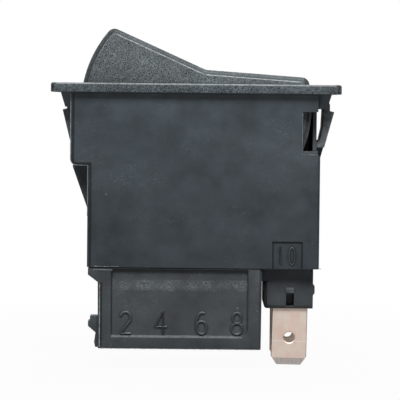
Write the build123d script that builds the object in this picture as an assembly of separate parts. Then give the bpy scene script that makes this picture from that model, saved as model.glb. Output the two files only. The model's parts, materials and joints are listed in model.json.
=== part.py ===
"""Rocker switch for a vehicle's four-wheel drive, snapped into a dashboard panel.

Frame: the origin is the centre of the bezel's underside, which seats on the panel.
+Z points out of the panel towards the rocker, +X runs along the bezel towards the side
terminals, and the even-numbered terminals are on the -Y side. Lengths are millimetres.
"""
from build123d import *
import os
from math import cos, radians, sin, sqrt, tan

# ---- bezel and housing ----
BEZEL_LENGTH = 50.8
BEZEL_WIDTH = 25.4
BEZEL_THICK = 1.65
BEZEL_CORNER = 1.0
BEZEL_EDGE = 0.25
SEAT_INNER_HALF_LENGTH = 24.05
SEAT_INNER_HALF_WIDTH = 11.05
SEAT_STEP = 0.15
OPENING_HALF_LENGTH = 20.75
OPENING_HALF_WIDTH = 8.65
BODY_HALF_WIDTH = 10.9
BODY_BOTTOM = -30.7
BODY_LEFT = -21.95
BODY_RIGHT = 21.85
WALL = 1.2
END_WALL = 1.05
INNER_HALF_WIDTH = BODY_HALF_WIDTH - WALL
LIP_DEPTH = 1.2
STEP_Z = -12.8
STEP_X = -18.92
STEP_RADIUS = 1.1
TUB_EDGE = 0.45
RELIEF_X = 21.4
RELIEF_Z = -10.9
GUSSET_FOOT_Z = -21.75
WINDOW_LEFT = 18.85
WINDOW_TOP = -3.1
WINDOW_BOTTOM = -9.95
WINDOW_LAND = 0.22
WINDOW_LAND_FOOT = -10.6
WINDOW_LAND_DEPTH = 0.12
CORNER_CUT_X = 20.3
CORNER_CUT_Y = -5.6
SCORE_LEFT, SCORE_RIGHT, SCORE_TOP = 13.6, 18.9, -25.85
SCORE_DEPTH = 0.4
SNAP_POCKET_TOP, SNAP_POCKET_BOTTOM = -27.9, -29.4
SNAP_X = 9.0

# ---- panel latches and locating lugs ----
PANEL_MAX = 2.9
LATCH_TOP_Z = -1.5
LATCH_TIP_Z = -3.1
LATCH_NOTCH_Z = -9.4
LATCH_CROTCH_Z = -8.7
LATCH_HALF_WIDTH = 4.5
STUB_SETBACK = 0.77
RIGHT_TIP_X, RIGHT_ROOT_Z, RIGHT_GAP = 24.55, -13.0, 1.35
LEFT_TIP_X, LEFT_ROOT_Z, LEFT_GAP = 23.75, -10.4, 0.2
LATCH_TOP_RADIUS = 0.3
LUG_X = 23.9
LUG_FOOT_X = 23.1
LUG_DEPTH = 2.6
LUG_INNER_Y = 5.2
LUG_OUTER_Y = 9.4
LUG_CORNER = 1.5

# ---- rocker ----
PIVOT_Z = -2.4
ROCKER_RADIUS = 20.35
ROCKER_RISE = 6.75
FACE_ANGLE = 10.1
REST_TILT = 14.0
ROCKER_HALF_WIDTH = 8.25
SIDE_PANEL_PROUD = 0.2
SIDE_PANEL_BEVEL = 0.15
RIM = 0.8
RIM_BEVEL = 0.4
ROCKER_WALL = 1.5
SKIRT_Z = -4.0
TOP_CORNER = 1.4
TRUNNION_RADIUS = 2.0
RUNNING_FIT = 0.05

# ---- contact mechanism, one set each side of the middle ----
SET_Y = 3.9
PLUNGER_RADIUS = 1.7
PLUNGER_REACH = 15.0
PLUNGER_TIP = 1.0
PLUNGER_TOP = -5.5
SOCKET_HALF_WIDTH = 2.5
SOCKET_END = -10.5
SOCKET_ROOF = 3.6
FULCRUM_DROP = 16.0
FULCRUM_Z = PIVOT_Z - FULCRUM_DROP
BLADE_TILT = 6.0
BLADE_THICK = 0.5
BLADE_WIDTH = 3.2
BLADE_GAP = 0.04
BLADE_FLAT_Z = 1.0
CONTACT_X = 6.8
CONTACT_RADIUS = 1.1
BUTTON_THICK = 0.5
FIXED_THICK = 0.5
CONTACT_GAP = 0.03
FOOT_X = CONTACT_X + 0.45

# ---- terminals and base ----
ROW_Y = 5.2
COLUMN_PITCH = 6.5
COMMON_X = 0.7
PIN_WIDTH = 2.8
SHEET = 0.8
PIN_TIP_Z = -43.2
TAB_WIDTH = 6.3
TAB_X = 17.1
TAB_TIP_Z = -48.1
TAB_SHIFT = {"near": 0.0, "far": -0.14}
TAB_LEAN = {"near": 0.95, "far": 0.0}
TAB_HOLE_RADIUS = 0.95
TAB_HOLE_UP = 4.85
TAB_NOSE_LENGTH = 1.25
TAB_NOSE_BEVEL = 0.22
TAB_EDGE = 0.12
LAMP_LEFT_X = COMMON_X - 2 * COLUMN_PITCH
LAMP_RIGHT_X = 15.6
LAMP_SEAT = -25.6
LAMP_RADIUS = 2.4
BASE_TOP = -30.85
FLOOR_BOTTOM = -33.3
SHROUD_LEFT = -17.0
SHROUD_RIGHT = 11.88
SHROUD_BOTTOM = -45.0
SHROUD_WALL = 1.4
SHROUD_HALF_WIDTH = 10.8
SHROUD_EDGE = 0.45
KEY_Y = -9.4
PANEL_X = -2.58
PANEL_HALF_LENGTH = 12.0
PANEL_DEPTH = 0.4
PANEL_TOP_DEPTH = 0.85
PANEL_RIDGE = (-32.9, -34.1, -34.8)
PANEL_BOTTOM = -42.6
PANEL_CORNER = 1.0
PANEL_LIP = 0.38
BLOCK_LEFT = 12.35
BLOCK_RIGHT = 21.04
BLOCK_BOTTOM = -38.0
BLOCK_HALF_WIDTH = 6.9
BLOCK_EDGE = 0.6
POCKET_HALF_WIDTH = 0.75
SLOT_X = 17.0
SLOT_HALF_WIDTH = 0.72
SLOT_TOP = -35.2
SLOT_BOTTOM = -37.65
SLOT_END_Y = 2.4
LANCE_CLEARANCE = 0.15
BUMP_TOP = -34.25
BUMP_PROUD = 0.3
WEB_BOTTOM = -33.1
SLIT = 0.03

SIDES = {"near": -1, "far": 1}


def block(x0, x1, y0, y1, z0, z1):
    """Return the cuboid between two opposite corners."""
    centre = Pos((x0 + x1) / 2, (y0 + y1) / 2, (z0 + z1) / 2)
    return centre * Box(abs(x1 - x0), abs(y1 - y0), abs(z1 - z0))


def slab(sketch, y0, y1):
    """Extrude a sketch drawn as (X, Z) from y0 to y1."""
    back = max(y0, y1)
    return extrude(Plane((0, back, 0), x_dir=(1, 0, 0), z_dir=(0, -1, 0)) * sketch, abs(y1 - y0))


def polygon(*points):
    """Return the flat face inside a closed run of (X, Z) points."""
    return make_face(Polyline(*points, close=True))


def pin(radius, x, z, y0, y1):
    """Return a round pin along Y, centred on (x, z)."""
    return slab(Pos(x, z) * Circle(radius), y0, y1)


def upright(radius, x, y, z0, z1):
    """Return a round post along Z."""
    return Pos(x, y, (z0 + z1) / 2) * Cylinder(radius, abs(z1 - z0))


def mirrored(shape):
    """Return a shape together with its mirror image across the YZ plane."""
    return shape + mirror(shape, about=Plane.YZ)


# ---------------------------------------------------------------- housing
def bezel():
    """Return the flange: rounded corners, broken edges, and a seat that stands down round its rim."""
    plate = block(-BEZEL_LENGTH / 2, BEZEL_LENGTH / 2, -BEZEL_WIDTH / 2, BEZEL_WIDTH / 2, 0, BEZEL_THICK)
    plate = fillet(plate.edges().filter_by(Axis.Z), BEZEL_CORNER)
    plate = chamfer(plate.edges().group_by(Axis.Z)[-1], BEZEL_EDGE)
    plate = chamfer(plate.edges().group_by(Axis.Z)[0], BEZEL_EDGE / 2)
    return plate - block(-SEAT_INNER_HALF_LENGTH, SEAT_INNER_HALF_LENGTH, -SEAT_INNER_HALF_WIDTH,
                         SEAT_INNER_HALF_WIDTH, -1, SEAT_STEP)


def body_outline():
    """Return the stepped side outline of the housing's tub."""
    outline = polygon(
        (BODY_LEFT, 2 * SEAT_STEP), (BODY_LEFT, STEP_Z), (STEP_X, STEP_Z), (STEP_X, BODY_BOTTOM),
        (BODY_RIGHT, BODY_BOTTOM), (BODY_RIGHT, RELIEF_Z), (RELIEF_X, RELIEF_Z),
        (RELIEF_X, 2 * SEAT_STEP),
    )
    step_corner = outline.vertices().sort_by_distance((BODY_LEFT, STEP_Z))[0]
    return fillet(step_corner, STEP_RADIUS)


def housing_cavity():
    """Return the hollow inside the tub: the rocker's opening, its pocket and the contact chamber."""
    ledge_top = STEP_Z + END_WALL
    mouth = block(-OPENING_HALF_LENGTH, OPENING_HALF_LENGTH, -OPENING_HALF_WIDTH, OPENING_HALF_WIDTH,
                  -LIP_DEPTH - 0.1, BEZEL_THICK + 1)
    pocket = block(-OPENING_HALF_LENGTH, OPENING_HALF_LENGTH, -INNER_HALF_WIDTH, INNER_HALF_WIDTH,
                   ledge_top, -LIP_DEPTH)
    chamber = block(STEP_X + END_WALL + 0.15, OPENING_HALF_LENGTH - 0.2, -INNER_HALF_WIDTH,
                    INNER_HALF_WIDTH, BODY_BOTTOM - 1, ledge_top + 0.1)
    return mouth + pocket + chamber


def latch(wall_x, root_x, root_z, tip_x, gap):
    """Return a right-hand snap arm, free at its top and rooted low on the end wall.

    wall_x is the wall behind the arm, root_x and root_z are where its outer slope runs out, and
    gap is the room between the arm's top and the wall, into which the arm springs.
    """
    lean = (tip_x - root_x) / (LATCH_TIP_Z - root_z)
    notch_x = tip_x - lean * (LATCH_TIP_Z - LATCH_NOTCH_Z)
    inside = wall_x - 0.3
    stub_x = tip_x - STUB_SETBACK
    knee, heel = (wall_x + 0.85 * gap, -5.9), (wall_x + 0.5 * gap, -8.1)
    arm = polygon(
        (wall_x + gap, LATCH_TOP_Z), (stub_x, LATCH_TOP_Z), (stub_x, -PANEL_MAX), (tip_x, LATCH_TIP_Z),
        (notch_x, LATCH_NOTCH_Z), (inside, LATCH_NOTCH_Z), (inside, LATCH_CROTCH_Z),
        (wall_x, LATCH_CROTCH_Z), heel, knee,
    )
    arm = fillet([v for v in arm.vertices() if v.Y > LATCH_TOP_Z - 0.1], LATCH_TOP_RADIUS)
    overlap_z = LATCH_NOTCH_Z + 0.1
    root = polygon((inside, overlap_z), (notch_x, overlap_z), (root_x - 0.05, root_z), (inside, root_z))
    return (slab(arm, -LATCH_HALF_WIDTH, LATCH_HALF_WIDTH)
            + slab(root, -LATCH_HALF_WIDTH / 2, LATCH_HALF_WIDTH / 2))


def latches():
    """Return both snap arms; the left one has been pressed in and stands closer to its wall."""
    right = latch(RELIEF_X, BODY_RIGHT, RIGHT_ROOT_Z, RIGHT_TIP_X, RIGHT_GAP)
    left = latch(-BODY_LEFT, -BODY_LEFT, LEFT_ROOT_Z, LEFT_TIP_X, LEFT_GAP)
    return right + mirror(left, about=Plane.YZ)


def locating_lugs():
    """Return the two shallow lugs under the right end of the bezel that centre it in the panel."""
    lugs = None
    for side in SIDES.values():
        root_x = RELIEF_X - 0.3
        lug = slab(polygon((root_x, 2 * SEAT_STEP), (LUG_X, 2 * SEAT_STEP), (LUG_X, 0),
                           (LUG_FOOT_X, -LUG_DEPTH), (root_x, -LUG_DEPTH)),
                   side * LUG_INNER_Y, side * LUG_OUTER_Y)
        outer_edges = lug.edges().filter_by(
            lambda e: e.center().X > LUG_FOOT_X - 0.1 and abs(e.tangent_at(0.5).Y) < 0.1
            and abs(e.center().Y) > LUG_OUTER_Y - 0.1)
        lug = chamfer(outer_edges.filter_by(lambda e: abs(e.tangent_at(0.5).Z) > 0.5), LUG_CORNER)
        lugs = lug if lugs is None else lugs + lug
    return lugs


def trunnions():
    """Return the two moulded pins that the rocker turns on, with their spacing pads."""
    pins = None
    for side in SIDES.values():
        pad = block(-3, 3, side * (INNER_HALF_WIDTH + 0.2), side * 8.6, PIVOT_Z - 3, PIVOT_Z + 1.2)
        stub = pin(TRUNNION_RADIUS, 0, PIVOT_Z, side * 8.7, side * 6.85)
        stub = chamfer(stub.edges().sort_by(Axis.Y)[-1 if side < 0 else 0], 0.35)
        pins = pad + stub if pins is None else pins + pad + stub
    return pins


def housing():
    """Return the housing: bezel, stepped tub, latches, lugs, gussets and trunnions as one moulding."""
    tub = slab(body_outline(), -BODY_HALF_WIDTH, BODY_HALF_WIDTH)
    rim_edges = tub.edges().filter_by(
        lambda e: abs(abs(e.center().Y) - BODY_HALF_WIDTH) < 0.01 and BODY_BOTTOM + 0.1 < e.center().Z < 0
        and (e.center().X < 0 or e.length > 15))
    tub = chamfer(rim_edges, TUB_EDGE)
    shell = tub + bezel() - housing_cavity()
    shell += latches() + mirrored(locating_lugs()) + trunnions()
    for side in SIDES.values():
        gusset = polygon((BODY_LEFT + 0.1, STEP_Z + 0.1), (STEP_X + 0.1, STEP_Z + 0.1),
                         (STEP_X + 0.1, GUSSET_FOOT_Z), (BODY_LEFT + 0.1, STEP_Z - 0.5))
        shell += slab(gusset, side * 3.2, side * 4.6)
    window = polygon((WINDOW_LEFT, WINDOW_TOP), (WINDOW_LEFT, WINDOW_BOTTOM),
                     (RELIEF_X + 0.3, WINDOW_BOTTOM), (RELIEF_X + 0.3, WINDOW_TOP))
    shell -= slab(window, -BODY_HALF_WIDTH - 1, -INNER_HALF_WIDTH)
    shell -= block(CORNER_CUT_X, RELIEF_X + 0.3, -BODY_HALF_WIDTH, CORNER_CUT_Y, WINDOW_BOTTOM, WINDOW_TOP)
    shell -= block(WINDOW_LEFT - WINDOW_LAND, RELIEF_X + 1, -BODY_HALF_WIDTH - 1,
                   -BODY_HALF_WIDTH + WINDOW_LAND_DEPTH, WINDOW_LAND_FOOT, WINDOW_TOP)
    shell -= block(SCORE_LEFT, SCORE_RIGHT, -BODY_HALF_WIDTH - 1, -BODY_HALF_WIDTH + SCORE_DEPTH,
                   BODY_BOTTOM - 1, SCORE_TOP)
    for x in (-SNAP_X, SNAP_X):
        shell -= block(x - 2.1, x + 2.1, -INNER_HALF_WIDTH - 0.5, INNER_HALF_WIDTH + 0.5,
                       SNAP_POCKET_BOTTOM, SNAP_POCKET_TOP)
    return shell


# ---------------------------------------------------------------- rocker, drawn level about its pivot
def face_height(x, inset=0.0):
    """Return the height of the rocker's V-shaped top above the pivot at x, inset into the wall."""
    return ROCKER_RISE - inset / cos(radians(FACE_ANGLE)) + abs(x) * tan(radians(FACE_ANGLE))


def rocker_outline(inset, skirt, corner):
    """Return the side outline: two sloped faces, two round ends about the pivot, a flat skirt edge."""
    radius = ROCKER_RADIUS - inset
    slope = tan(radians(FACE_ANGLE))
    kink = face_height(0, inset)
    a, b, c = 1 + slope ** 2, kink * slope, kink ** 2 - radius ** 2
    corner_x = (-b + sqrt(b * b - a * c)) / a
    corner_z = kink + slope * corner_x
    skirt_x = sqrt(radius ** 2 - skirt ** 2)
    top = Polyline((-corner_x, corner_z), (0, kink), (corner_x, corner_z))
    right = ThreePointArc((corner_x, corner_z), (radius, 0), (skirt_x, skirt))
    bottom = Line((skirt_x, skirt), (-skirt_x, skirt))
    left = ThreePointArc((-skirt_x, skirt), (-radius, 0), (-corner_x, corner_z))
    outline = make_face(Wire([*top.edges(), *right.edges(), *bottom.edges(), *left.edges()]))
    tips = [v for v in outline.vertices() if v.Y > kink + 1]
    outline = fillet(tips, corner)
    middle = [v for v in outline.vertices() if abs(v.X) < 0.01]
    return fillet(middle, 1.5)


def lens_place(side):
    """Return the place of a lens: the middle of a rocker face, with +Z square to that face."""
    x = side * 10.5
    return Pos(x, 0, face_height(x)) * Rot(0, -side * FACE_ANGLE, 0)


def lens_body(grow=0.0):
    """Return a lens with its retaining flange, its face level with local z = 0."""
    depth = ROCKER_WALL
    window = block(-4.0 - grow, 4.0 + grow, -1.6 - grow, 1.6 + grow, -depth - 0.05, 0)
    flange = block(-4.7 - grow, 4.7 + grow, -2.3 - grow, 2.3 + grow, -depth - 0.9, -depth - 0.02)
    return window, flange


def rocker():
    """Return the rocker: a hollow shell with side walls, plunger sockets and trunnion bores."""
    shell = slab(rocker_outline(0, SKIRT_Z, TOP_CORNER), -ROCKER_HALF_WIDTH, ROCKER_HALF_WIDTH)
    rim_edges = shell.edges().filter_by(
        lambda e: abs(abs(e.center().Y) - ROCKER_HALF_WIDTH) < 0.01 and e.center().Z > SKIRT_Z + 0.1)
    shell = chamfer(rim_edges, RIM_BEVEL)
    proud = ROCKER_HALF_WIDTH + SIDE_PANEL_PROUD
    panel = rocker_outline(RIM, SKIRT_Z, TOP_CORNER - RIM / 2)
    inner = rocker_outline(ROCKER_WALL, SKIRT_Z - 3, TOP_CORNER / 2)
    inner_y = ROCKER_HALF_WIDTH - ROCKER_WALL
    panel = slab(panel, -proud, proud)
    panel_edges = panel.edges().filter_by(
        lambda e: abs(abs(e.center().Y) - proud) < 0.01 and e.center().Z > SKIRT_Z + 0.1)
    shell = shell + chamfer(panel_edges, SIDE_PANEL_BEVEL) - slab(inner, -inner_y, inner_y)
    shell += block(-0.5, 0.5, -inner_y, inner_y, -8.5, ROCKER_RISE - ROCKER_WALL / 2)
    for side in SIDES.values():
        shell += block(-SOCKET_HALF_WIDTH, SOCKET_HALF_WIDTH, side * SET_Y - SOCKET_HALF_WIDTH,
                       side * SET_Y + SOCKET_HALF_WIDTH, SOCKET_END, ROCKER_RISE - ROCKER_WALL / 2)
    bore = pin(TRUNNION_RADIUS + RUNNING_FIT, 0, 0, -proud - 1, proud + 1)
    shell -= bore - block(-4, 4, -inner_y, inner_y, -4, 4)
    for side in SIDES.values():
        shell -= upright(PLUNGER_RADIUS + RUNNING_FIT, 0, side * SET_Y, SOCKET_END - 1, SOCKET_ROOF)
        shell -= block(-TRUNNION_RADIUS, TRUNNION_RADIUS, side * 7.9, side * 9, SKIRT_Z - 1, 0)
        window, flange = lens_body(SLIT)
        shell -= lens_place(side) * (window + extrude(window.faces().sort_by(Axis.Z)[-1], 0.5) + flange)
    return shell


def plunger(side):
    """Return a plunger: a stem that fills its socket, drawn in to a blunt nose."""
    nose_z = -(PLUNGER_REACH - PLUNGER_TIP)
    flat, drop = PLUNGER_TIP * sin(radians(20)), PLUNGER_TIP * cos(radians(20))
    profile = polygon((0, PLUNGER_TOP), (PLUNGER_RADIUS, PLUNGER_TOP), (PLUNGER_RADIUS, nose_z + 1.4),
                      (flat, nose_z - drop), (0, nose_z - drop))
    return Pos(0, side * SET_Y, 0) * revolve(Plane.XZ * profile, Axis.Z)


def spring(side):
    """Return a plunger's coil spring, between the socket's roof and the plunger's end."""
    wire, coil_radius, turns, steps = 0.22, 1.2, 5, 12
    foot = PLUNGER_TOP + wire + 0.02
    rise = (SOCKET_ROOF - wire - 0.02 - foot) / (turns * steps)
    points = [(coil_radius * cos(radians(i * 360 / steps)), coil_radius * sin(radians(i * 360 / steps)),
               foot + i * rise) for i in range(turns * steps + 1)]
    path = Polyline(*points)
    section = Plane(origin=path @ 0, z_dir=path % 0) * RegularPolygon(wire, 5)
    return Pos(0, side * SET_Y, 0) * sweep(section, path, transition=Transition.RIGHT)


# ---------------------------------------------------------------- contact blades, level about the fulcrum
def blade_profile():
    """Return a contact blade's side profile.

    Its middle is a trough that follows the plunger's nose: the trough's radius is that of the
    circle through the nose's places at mid-travel and at either end, seen from the blade.
    """
    swing = radians(REST_TILT)
    tilt = radians(BLADE_TILT)
    arm = PLUNGER_REACH - PLUNGER_TIP
    low = FULCRUM_DROP - arm
    end_x, end_z = arm * sin(swing), FULCRUM_DROP - arm * cos(swing)
    seen_x = end_x * cos(tilt) - end_z * sin(tilt)
    rise = end_x * sin(tilt) + end_z * cos(tilt) - low
    nose_circle = (seen_x ** 2 + rise ** 2) / (2 * rise)
    centre_z = low + nose_circle
    radius = nose_circle + PLUNGER_TIP + BLADE_GAP + BLADE_THICK / 2
    reach = 30.0
    start_x, start_z = radius * sin(radians(reach)), centre_z - radius * cos(radians(reach))
    trough = ThreePointArc((-start_x, start_z), (0, centre_z - radius), (start_x, start_z))
    profile = trace(trough, BLADE_THICK) + blade_tail(start_x, start_z, reach)
    profile += mirror(blade_tail(start_x, start_z, reach), about=Plane.YZ)
    return profile, centre_z - radius


def blade_tail(start_x, start_z, slope):
    """Return the outer arm of a blade: over a crest, down and out into the flat that carries a button."""
    bend, fall = 0.5, 50.0
    heading = (cos(radians(slope)), sin(radians(slope)))
    crest = JernArc((start_x, start_z), heading, bend, -(slope + fall))
    drop = ((crest @ 1).Y - BLADE_FLAT_Z - bend * (1 - cos(radians(fall)))) / sin(radians(fall))
    ramp = Line(crest @ 1, crest @ 1 + (crest % 1) * drop)
    landing = JernArc(ramp @ 1, ramp % 1, bend, fall)
    flat = Line(landing @ 1, (CONTACT_X + 1.4, BLADE_FLAT_Z))
    return trace([crest, ramp, landing, flat], BLADE_THICK)


def contact_blade(side):
    """Return one rocking contact blade with the ears that locate it over the fulcrum."""
    profile, middle_z = blade_profile()
    blade = slab(profile, -BLADE_WIDTH / 2, BLADE_WIDTH / 2)
    for end in (-1, 1):
        ear = block(end * 0.55, end * 0.95, -BLADE_WIDTH / 2, -BLADE_WIDTH / 2 + 0.6, -0.35, middle_z)
        blade += ear + mirror(ear, about=Plane.XZ)
    return Pos(0, side * SET_Y, 0) * blade


def moving_contacts(side):
    """Return the two silver buttons welded under a blade's ends."""
    seat_z = BLADE_FLAT_Z - BLADE_THICK / 2
    return Compound([upright(CONTACT_RADIUS, end * CONTACT_X, side * SET_Y, seat_z - BUTTON_THICK, seat_z)
                     for end in (-1, 1)])


def fixed_contact_top():
    """Return the height of the fixed contacts: just under the outer rim of a lowered button."""
    tilt = radians(BLADE_TILT)
    low_edge = BLADE_FLAT_Z - BLADE_THICK / 2 - BUTTON_THICK
    return FULCRUM_Z + low_edge * cos(tilt) - (CONTACT_X + CONTACT_RADIUS) * sin(tilt) - CONTACT_GAP


FOOT_TOP = fixed_contact_top() - FIXED_THICK


def fixed_contacts():
    """Return the four flat silver buttons welded to the feet of the throw terminals."""
    buttons = []
    for side in SIDES.values():
        for end in (-1, 1):
            buttons.append(upright(CONTACT_RADIUS + 0.15, end * FOOT_X, side * SET_Y, FOOT_TOP,
                                   FOOT_TOP + FIXED_THICK))
    return Compound(buttons)


# ---------------------------------------------------------------- terminals
def pin_blade(x, side, top):
    """Return a terminal's straight blade with a bevelled tip, from the connector up to a height."""
    y = side * ROW_Y
    blade = block(x - PIN_WIDTH / 2, x + PIN_WIDTH / 2, y - SHEET / 2, y + SHEET / 2, PIN_TIP_Z, top)
    return chamfer(blade.edges().group_by(Axis.Z)[0], 0.25)


def shoulders(x, side, width):
    """Return the wider stretch of a terminal that sits on the base's floor."""
    y = side * ROW_Y
    return block(x - width / 2, x + width / 2, y - SHEET / 2, y + SHEET / 2, BASE_TOP, BASE_TOP + 1.2)


def throw_terminal(x, end, side):
    """Return a throw terminal: its top is bent over into a foot that carries a fixed contact."""
    foot_x = end * FOOT_X
    inner = side * (SET_Y - 1.5)
    x0, x1 = min(x - PIN_WIDTH / 2, foot_x - 1.5), max(x + PIN_WIDTH / 2, foot_x + 1.5)
    foot = block(x0, x1, inner, side * (ROW_Y + SHEET / 2), FOOT_TOP - SHEET, FOOT_TOP)
    body = pin_blade(x, side, FOOT_TOP) + shoulders(x, side, PIN_WIDTH + 1.2) + foot
    bend = body.edges().filter_by(Axis.X).sort_by_distance((x, side * (ROW_Y + SHEET / 2), FOOT_TOP))[0]
    return fillet(bend, SHEET * 0.6)


def common_terminal(x, side):
    """Return a common terminal: a foot on its post and an upright whose round edge is the fulcrum."""
    foot_z = FULCRUM_Z - 3.2
    inner = side * (SET_Y - 1.5)
    foot = block(-1.2, x + PIN_WIDTH / 2, inner, side * (ROW_Y + SHEET / 2), foot_z - SHEET, foot_z)
    edge = slab(Pos(0, FULCRUM_Z) * Circle(SHEET / 2), inner, side * (SET_Y + 0.8))
    knife = block(-SHEET / 2, SHEET / 2, inner, side * (SET_Y + 0.8), foot_z - 0.1, FULCRUM_Z)
    return pin_blade(x, side, foot_z) + shoulders(x, side, PIN_WIDTH + 1.2) + foot + knife + edge


def lamp_finger(x, side, top):
    """Return the spring finger of a lamp terminal, bent in to press on the lamp's wedge."""
    y0, y1 = side * 1.13, side * (ROW_Y + SHEET / 2)
    return block(x - 1.0, x + 1.0, y0, y1, top - SHEET, top) + block(
        x - 1.0, x + 1.0, y0, side * (1.13 + SHEET / 2), top - 2.0, top)


def lamp_terminal(x, side):
    """Return a connector terminal that feeds the left lamp."""
    return (pin_blade(x, side, LAMP_SEAT) + shoulders(x, side, PIN_WIDTH + 1.2)
            + lamp_finger(x, side, LAMP_SEAT))


def tab_terminal(side):
    """Return a 6.3 mm tab with its hole, clipped corners and lance window, and its lamp finger."""
    y = side * ROW_Y
    root_z = FLOOR_BOTTOM - 0.1
    blade = polygon((-TAB_WIDTH / 2, root_z), (-TAB_WIDTH / 2, TAB_TIP_Z + 1.5),
                    (-TAB_WIDTH / 2 + 1.0, TAB_TIP_Z), (TAB_WIDTH / 2 - 1.0, TAB_TIP_Z),
                    (TAB_WIDTH / 2, TAB_TIP_Z + 1.5), (TAB_WIDTH / 2, root_z))
    blade = slab(blade, y - SHEET / 2, y + SHEET / 2)
    long_edges = blade.edges().filter_by(Axis.Z)
    blade = chamfer(long_edges, TAB_EDGE)
    for face_y in (y - SHEET / 2, y + SHEET / 2):
        inward = 1 if face_y < y else -1
        nose = Plane.YZ * polygon(
            (face_y - inward, TAB_TIP_Z - 1), (face_y + inward * TAB_NOSE_BEVEL, TAB_TIP_Z - 1),
            (face_y + inward * TAB_NOSE_BEVEL, TAB_TIP_Z), (face_y, TAB_TIP_Z + TAB_NOSE_LENGTH),
            (face_y - inward, TAB_TIP_Z + TAB_NOSE_LENGTH))
        blade -= extrude(nose, TAB_WIDTH, both=True)
    blade -= pin(TAB_HOLE_RADIUS, 0, TAB_TIP_Z + TAB_HOLE_UP, y - 1, y + 1)
    lance_half = SLOT_HALF_WIDTH + LANCE_CLEARANCE
    blade -= block(SLOT_X - TAB_X - lance_half, SLOT_X - TAB_X + lance_half, y - 1, y + 1,
                   SLOT_BOTTOM - LANCE_CLEARANCE, SLOT_TOP + LANCE_CLEARANCE)
    name = "near" if side < 0 else "far"
    place = Pos(TAB_X + TAB_SHIFT[name], 0, root_z) * Rot(0, TAB_LEAN[name], 0) * Pos(0, 0, -root_z)
    stem = block(LAMP_RIGHT_X - 1.5, LAMP_RIGHT_X + 1.5, y - SHEET / 2, y + SHEET / 2, root_z - 0.4,
                 LAMP_SEAT)
    return (place * blade + stem + shoulders(LAMP_RIGHT_X, side, 4.2)
            + lamp_finger(LAMP_RIGHT_X, side, LAMP_SEAT))


# ---------------------------------------------------------------- lamps and lenses
def lamp(x):
    """Return a capless lamp: a flat glass wedge under a round envelope, sealed as one solid."""
    wedge = block(x - 2.1, x + 2.1, -1.1, 1.1, LAMP_SEAT - 3.6, LAMP_SEAT + 1.2)
    shoulder_z, tip_z = LAMP_SEAT + 7.4, LAMP_SEAT + 9.0
    profile = polygon((0, LAMP_SEAT + 0.6), (LAMP_RADIUS, LAMP_SEAT + 0.6), (LAMP_RADIUS, shoulder_z),
                      (LAMP_RADIUS / 2, tip_z), (0, tip_z))
    return wedge + Pos(x, 0, 0) * revolve(Plane.XZ * profile, Axis.Z)


def lens(side):
    """Return one lens, flush with the rocker's face."""
    window, flange = lens_body()
    return lens_place(side) * (window + flange)


# ---------------------------------------------------------------- base
def column_x(number):
    """Return the X of a connector terminal's column from its number, 1 to 8."""
    return COMMON_X + COLUMN_PITCH * ((number - 1) // 2 - 2)


def shroud():
    """Return the connector shroud with its bevelled flange, number panel, key ribs and cavity."""
    outline = polygon((STEP_X + 0.2, BASE_TOP), (STEP_X + 0.2, -32.0), (SHROUD_LEFT, FLOOR_BOTTOM),
                      (SHROUD_LEFT + 0.1, SHROUD_BOTTOM), (SHROUD_RIGHT - 0.1, SHROUD_BOTTOM),
                      (SHROUD_RIGHT, BASE_TOP))
    body = slab(outline, -SHROUD_HALF_WIDTH, SHROUD_HALF_WIDTH)
    uprights = body.edges().filter_by(lambda e: e.length > 10 and abs(e.tangent_at(0.5).Z) > 0.9)
    body = chamfer(uprights, SHROUD_EDGE) + key_ribs() - number_panel()
    return body - block(SHROUD_LEFT + SHROUD_WALL, SHROUD_RIGHT - SHROUD_WALL,
                        -SHROUD_HALF_WIDTH + SHROUD_WALL, SHROUD_HALF_WIDTH - SHROUD_WALL,
                        SHROUD_BOTTOM - 1, FLOOR_BOTTOM)


def number_panel():
    """Return the shallow recess in the near wall: rounded at its foot, swelling out below its top."""
    face, top = -SHROUD_HALF_WIDTH, BASE_TOP - 0.15
    floor = face + PANEL_DEPTH
    recess = slab(polygon((-PANEL_HALF_LENGTH, top), (-PANEL_HALF_LENGTH, PANEL_BOTTOM),
                          (PANEL_HALF_LENGTH, PANEL_BOTTOM), (PANEL_HALF_LENGTH, top)), face - 1, floor)
    corner = recess.edges().filter_by(Axis.Y).sort_by_distance((PANEL_HALF_LENGTH, face, PANEL_BOTTOM))[0]
    recess = fillet(corner, PANEL_CORNER)
    lip = Plane.YZ * polygon((face, PANEL_BOTTOM + 0.1), (floor, PANEL_BOTTOM + 0.1), (floor, PANEL_BOTTOM),
                             (face, PANEL_BOTTOM - PANEL_LIP))
    lip_half = PANEL_HALF_LENGTH - PANEL_CORNER / 2
    lip = Pos(-PANEL_CORNER / 2, 0, 0) * extrude(lip, lip_half, both=True)
    back = face + PANEL_TOP_DEPTH
    bulge_top, bulge, bulge_foot = PANEL_RIDGE
    swell = Plane.YZ * polygon((floor, top), (back, top), (back - 0.05, bulge_top), (floor + 0.1, bulge),
                               (floor, bulge_foot))
    return Pos(PANEL_X, 0, 0) * (recess + lip + extrude(swell, PANEL_HALF_LENGTH, both=True))


def key_ribs():
    """Return the plug's catch on the left end wall, and the slim key rib below it."""
    wall = SHROUD_LEFT + 0.3
    catch = polygon((wall, -39.4), (-18.35, -39.4), (-18.35, -40.25), (-18.7, -40.25), (-18.7, -41.2),
                    (-17.4, -42.3), (wall, -42.3))
    rib = polygon((wall, -42.2), (-17.35, -42.2), (-17.6, -44.0), (-17.4, SHROUD_BOTTOM + 0.1),
                  (wall, SHROUD_BOTTOM + 0.1))
    return slab(catch, KEY_Y, KEY_Y + 3.0) + slab(rib, KEY_Y, KEY_Y + 1.2)


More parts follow.
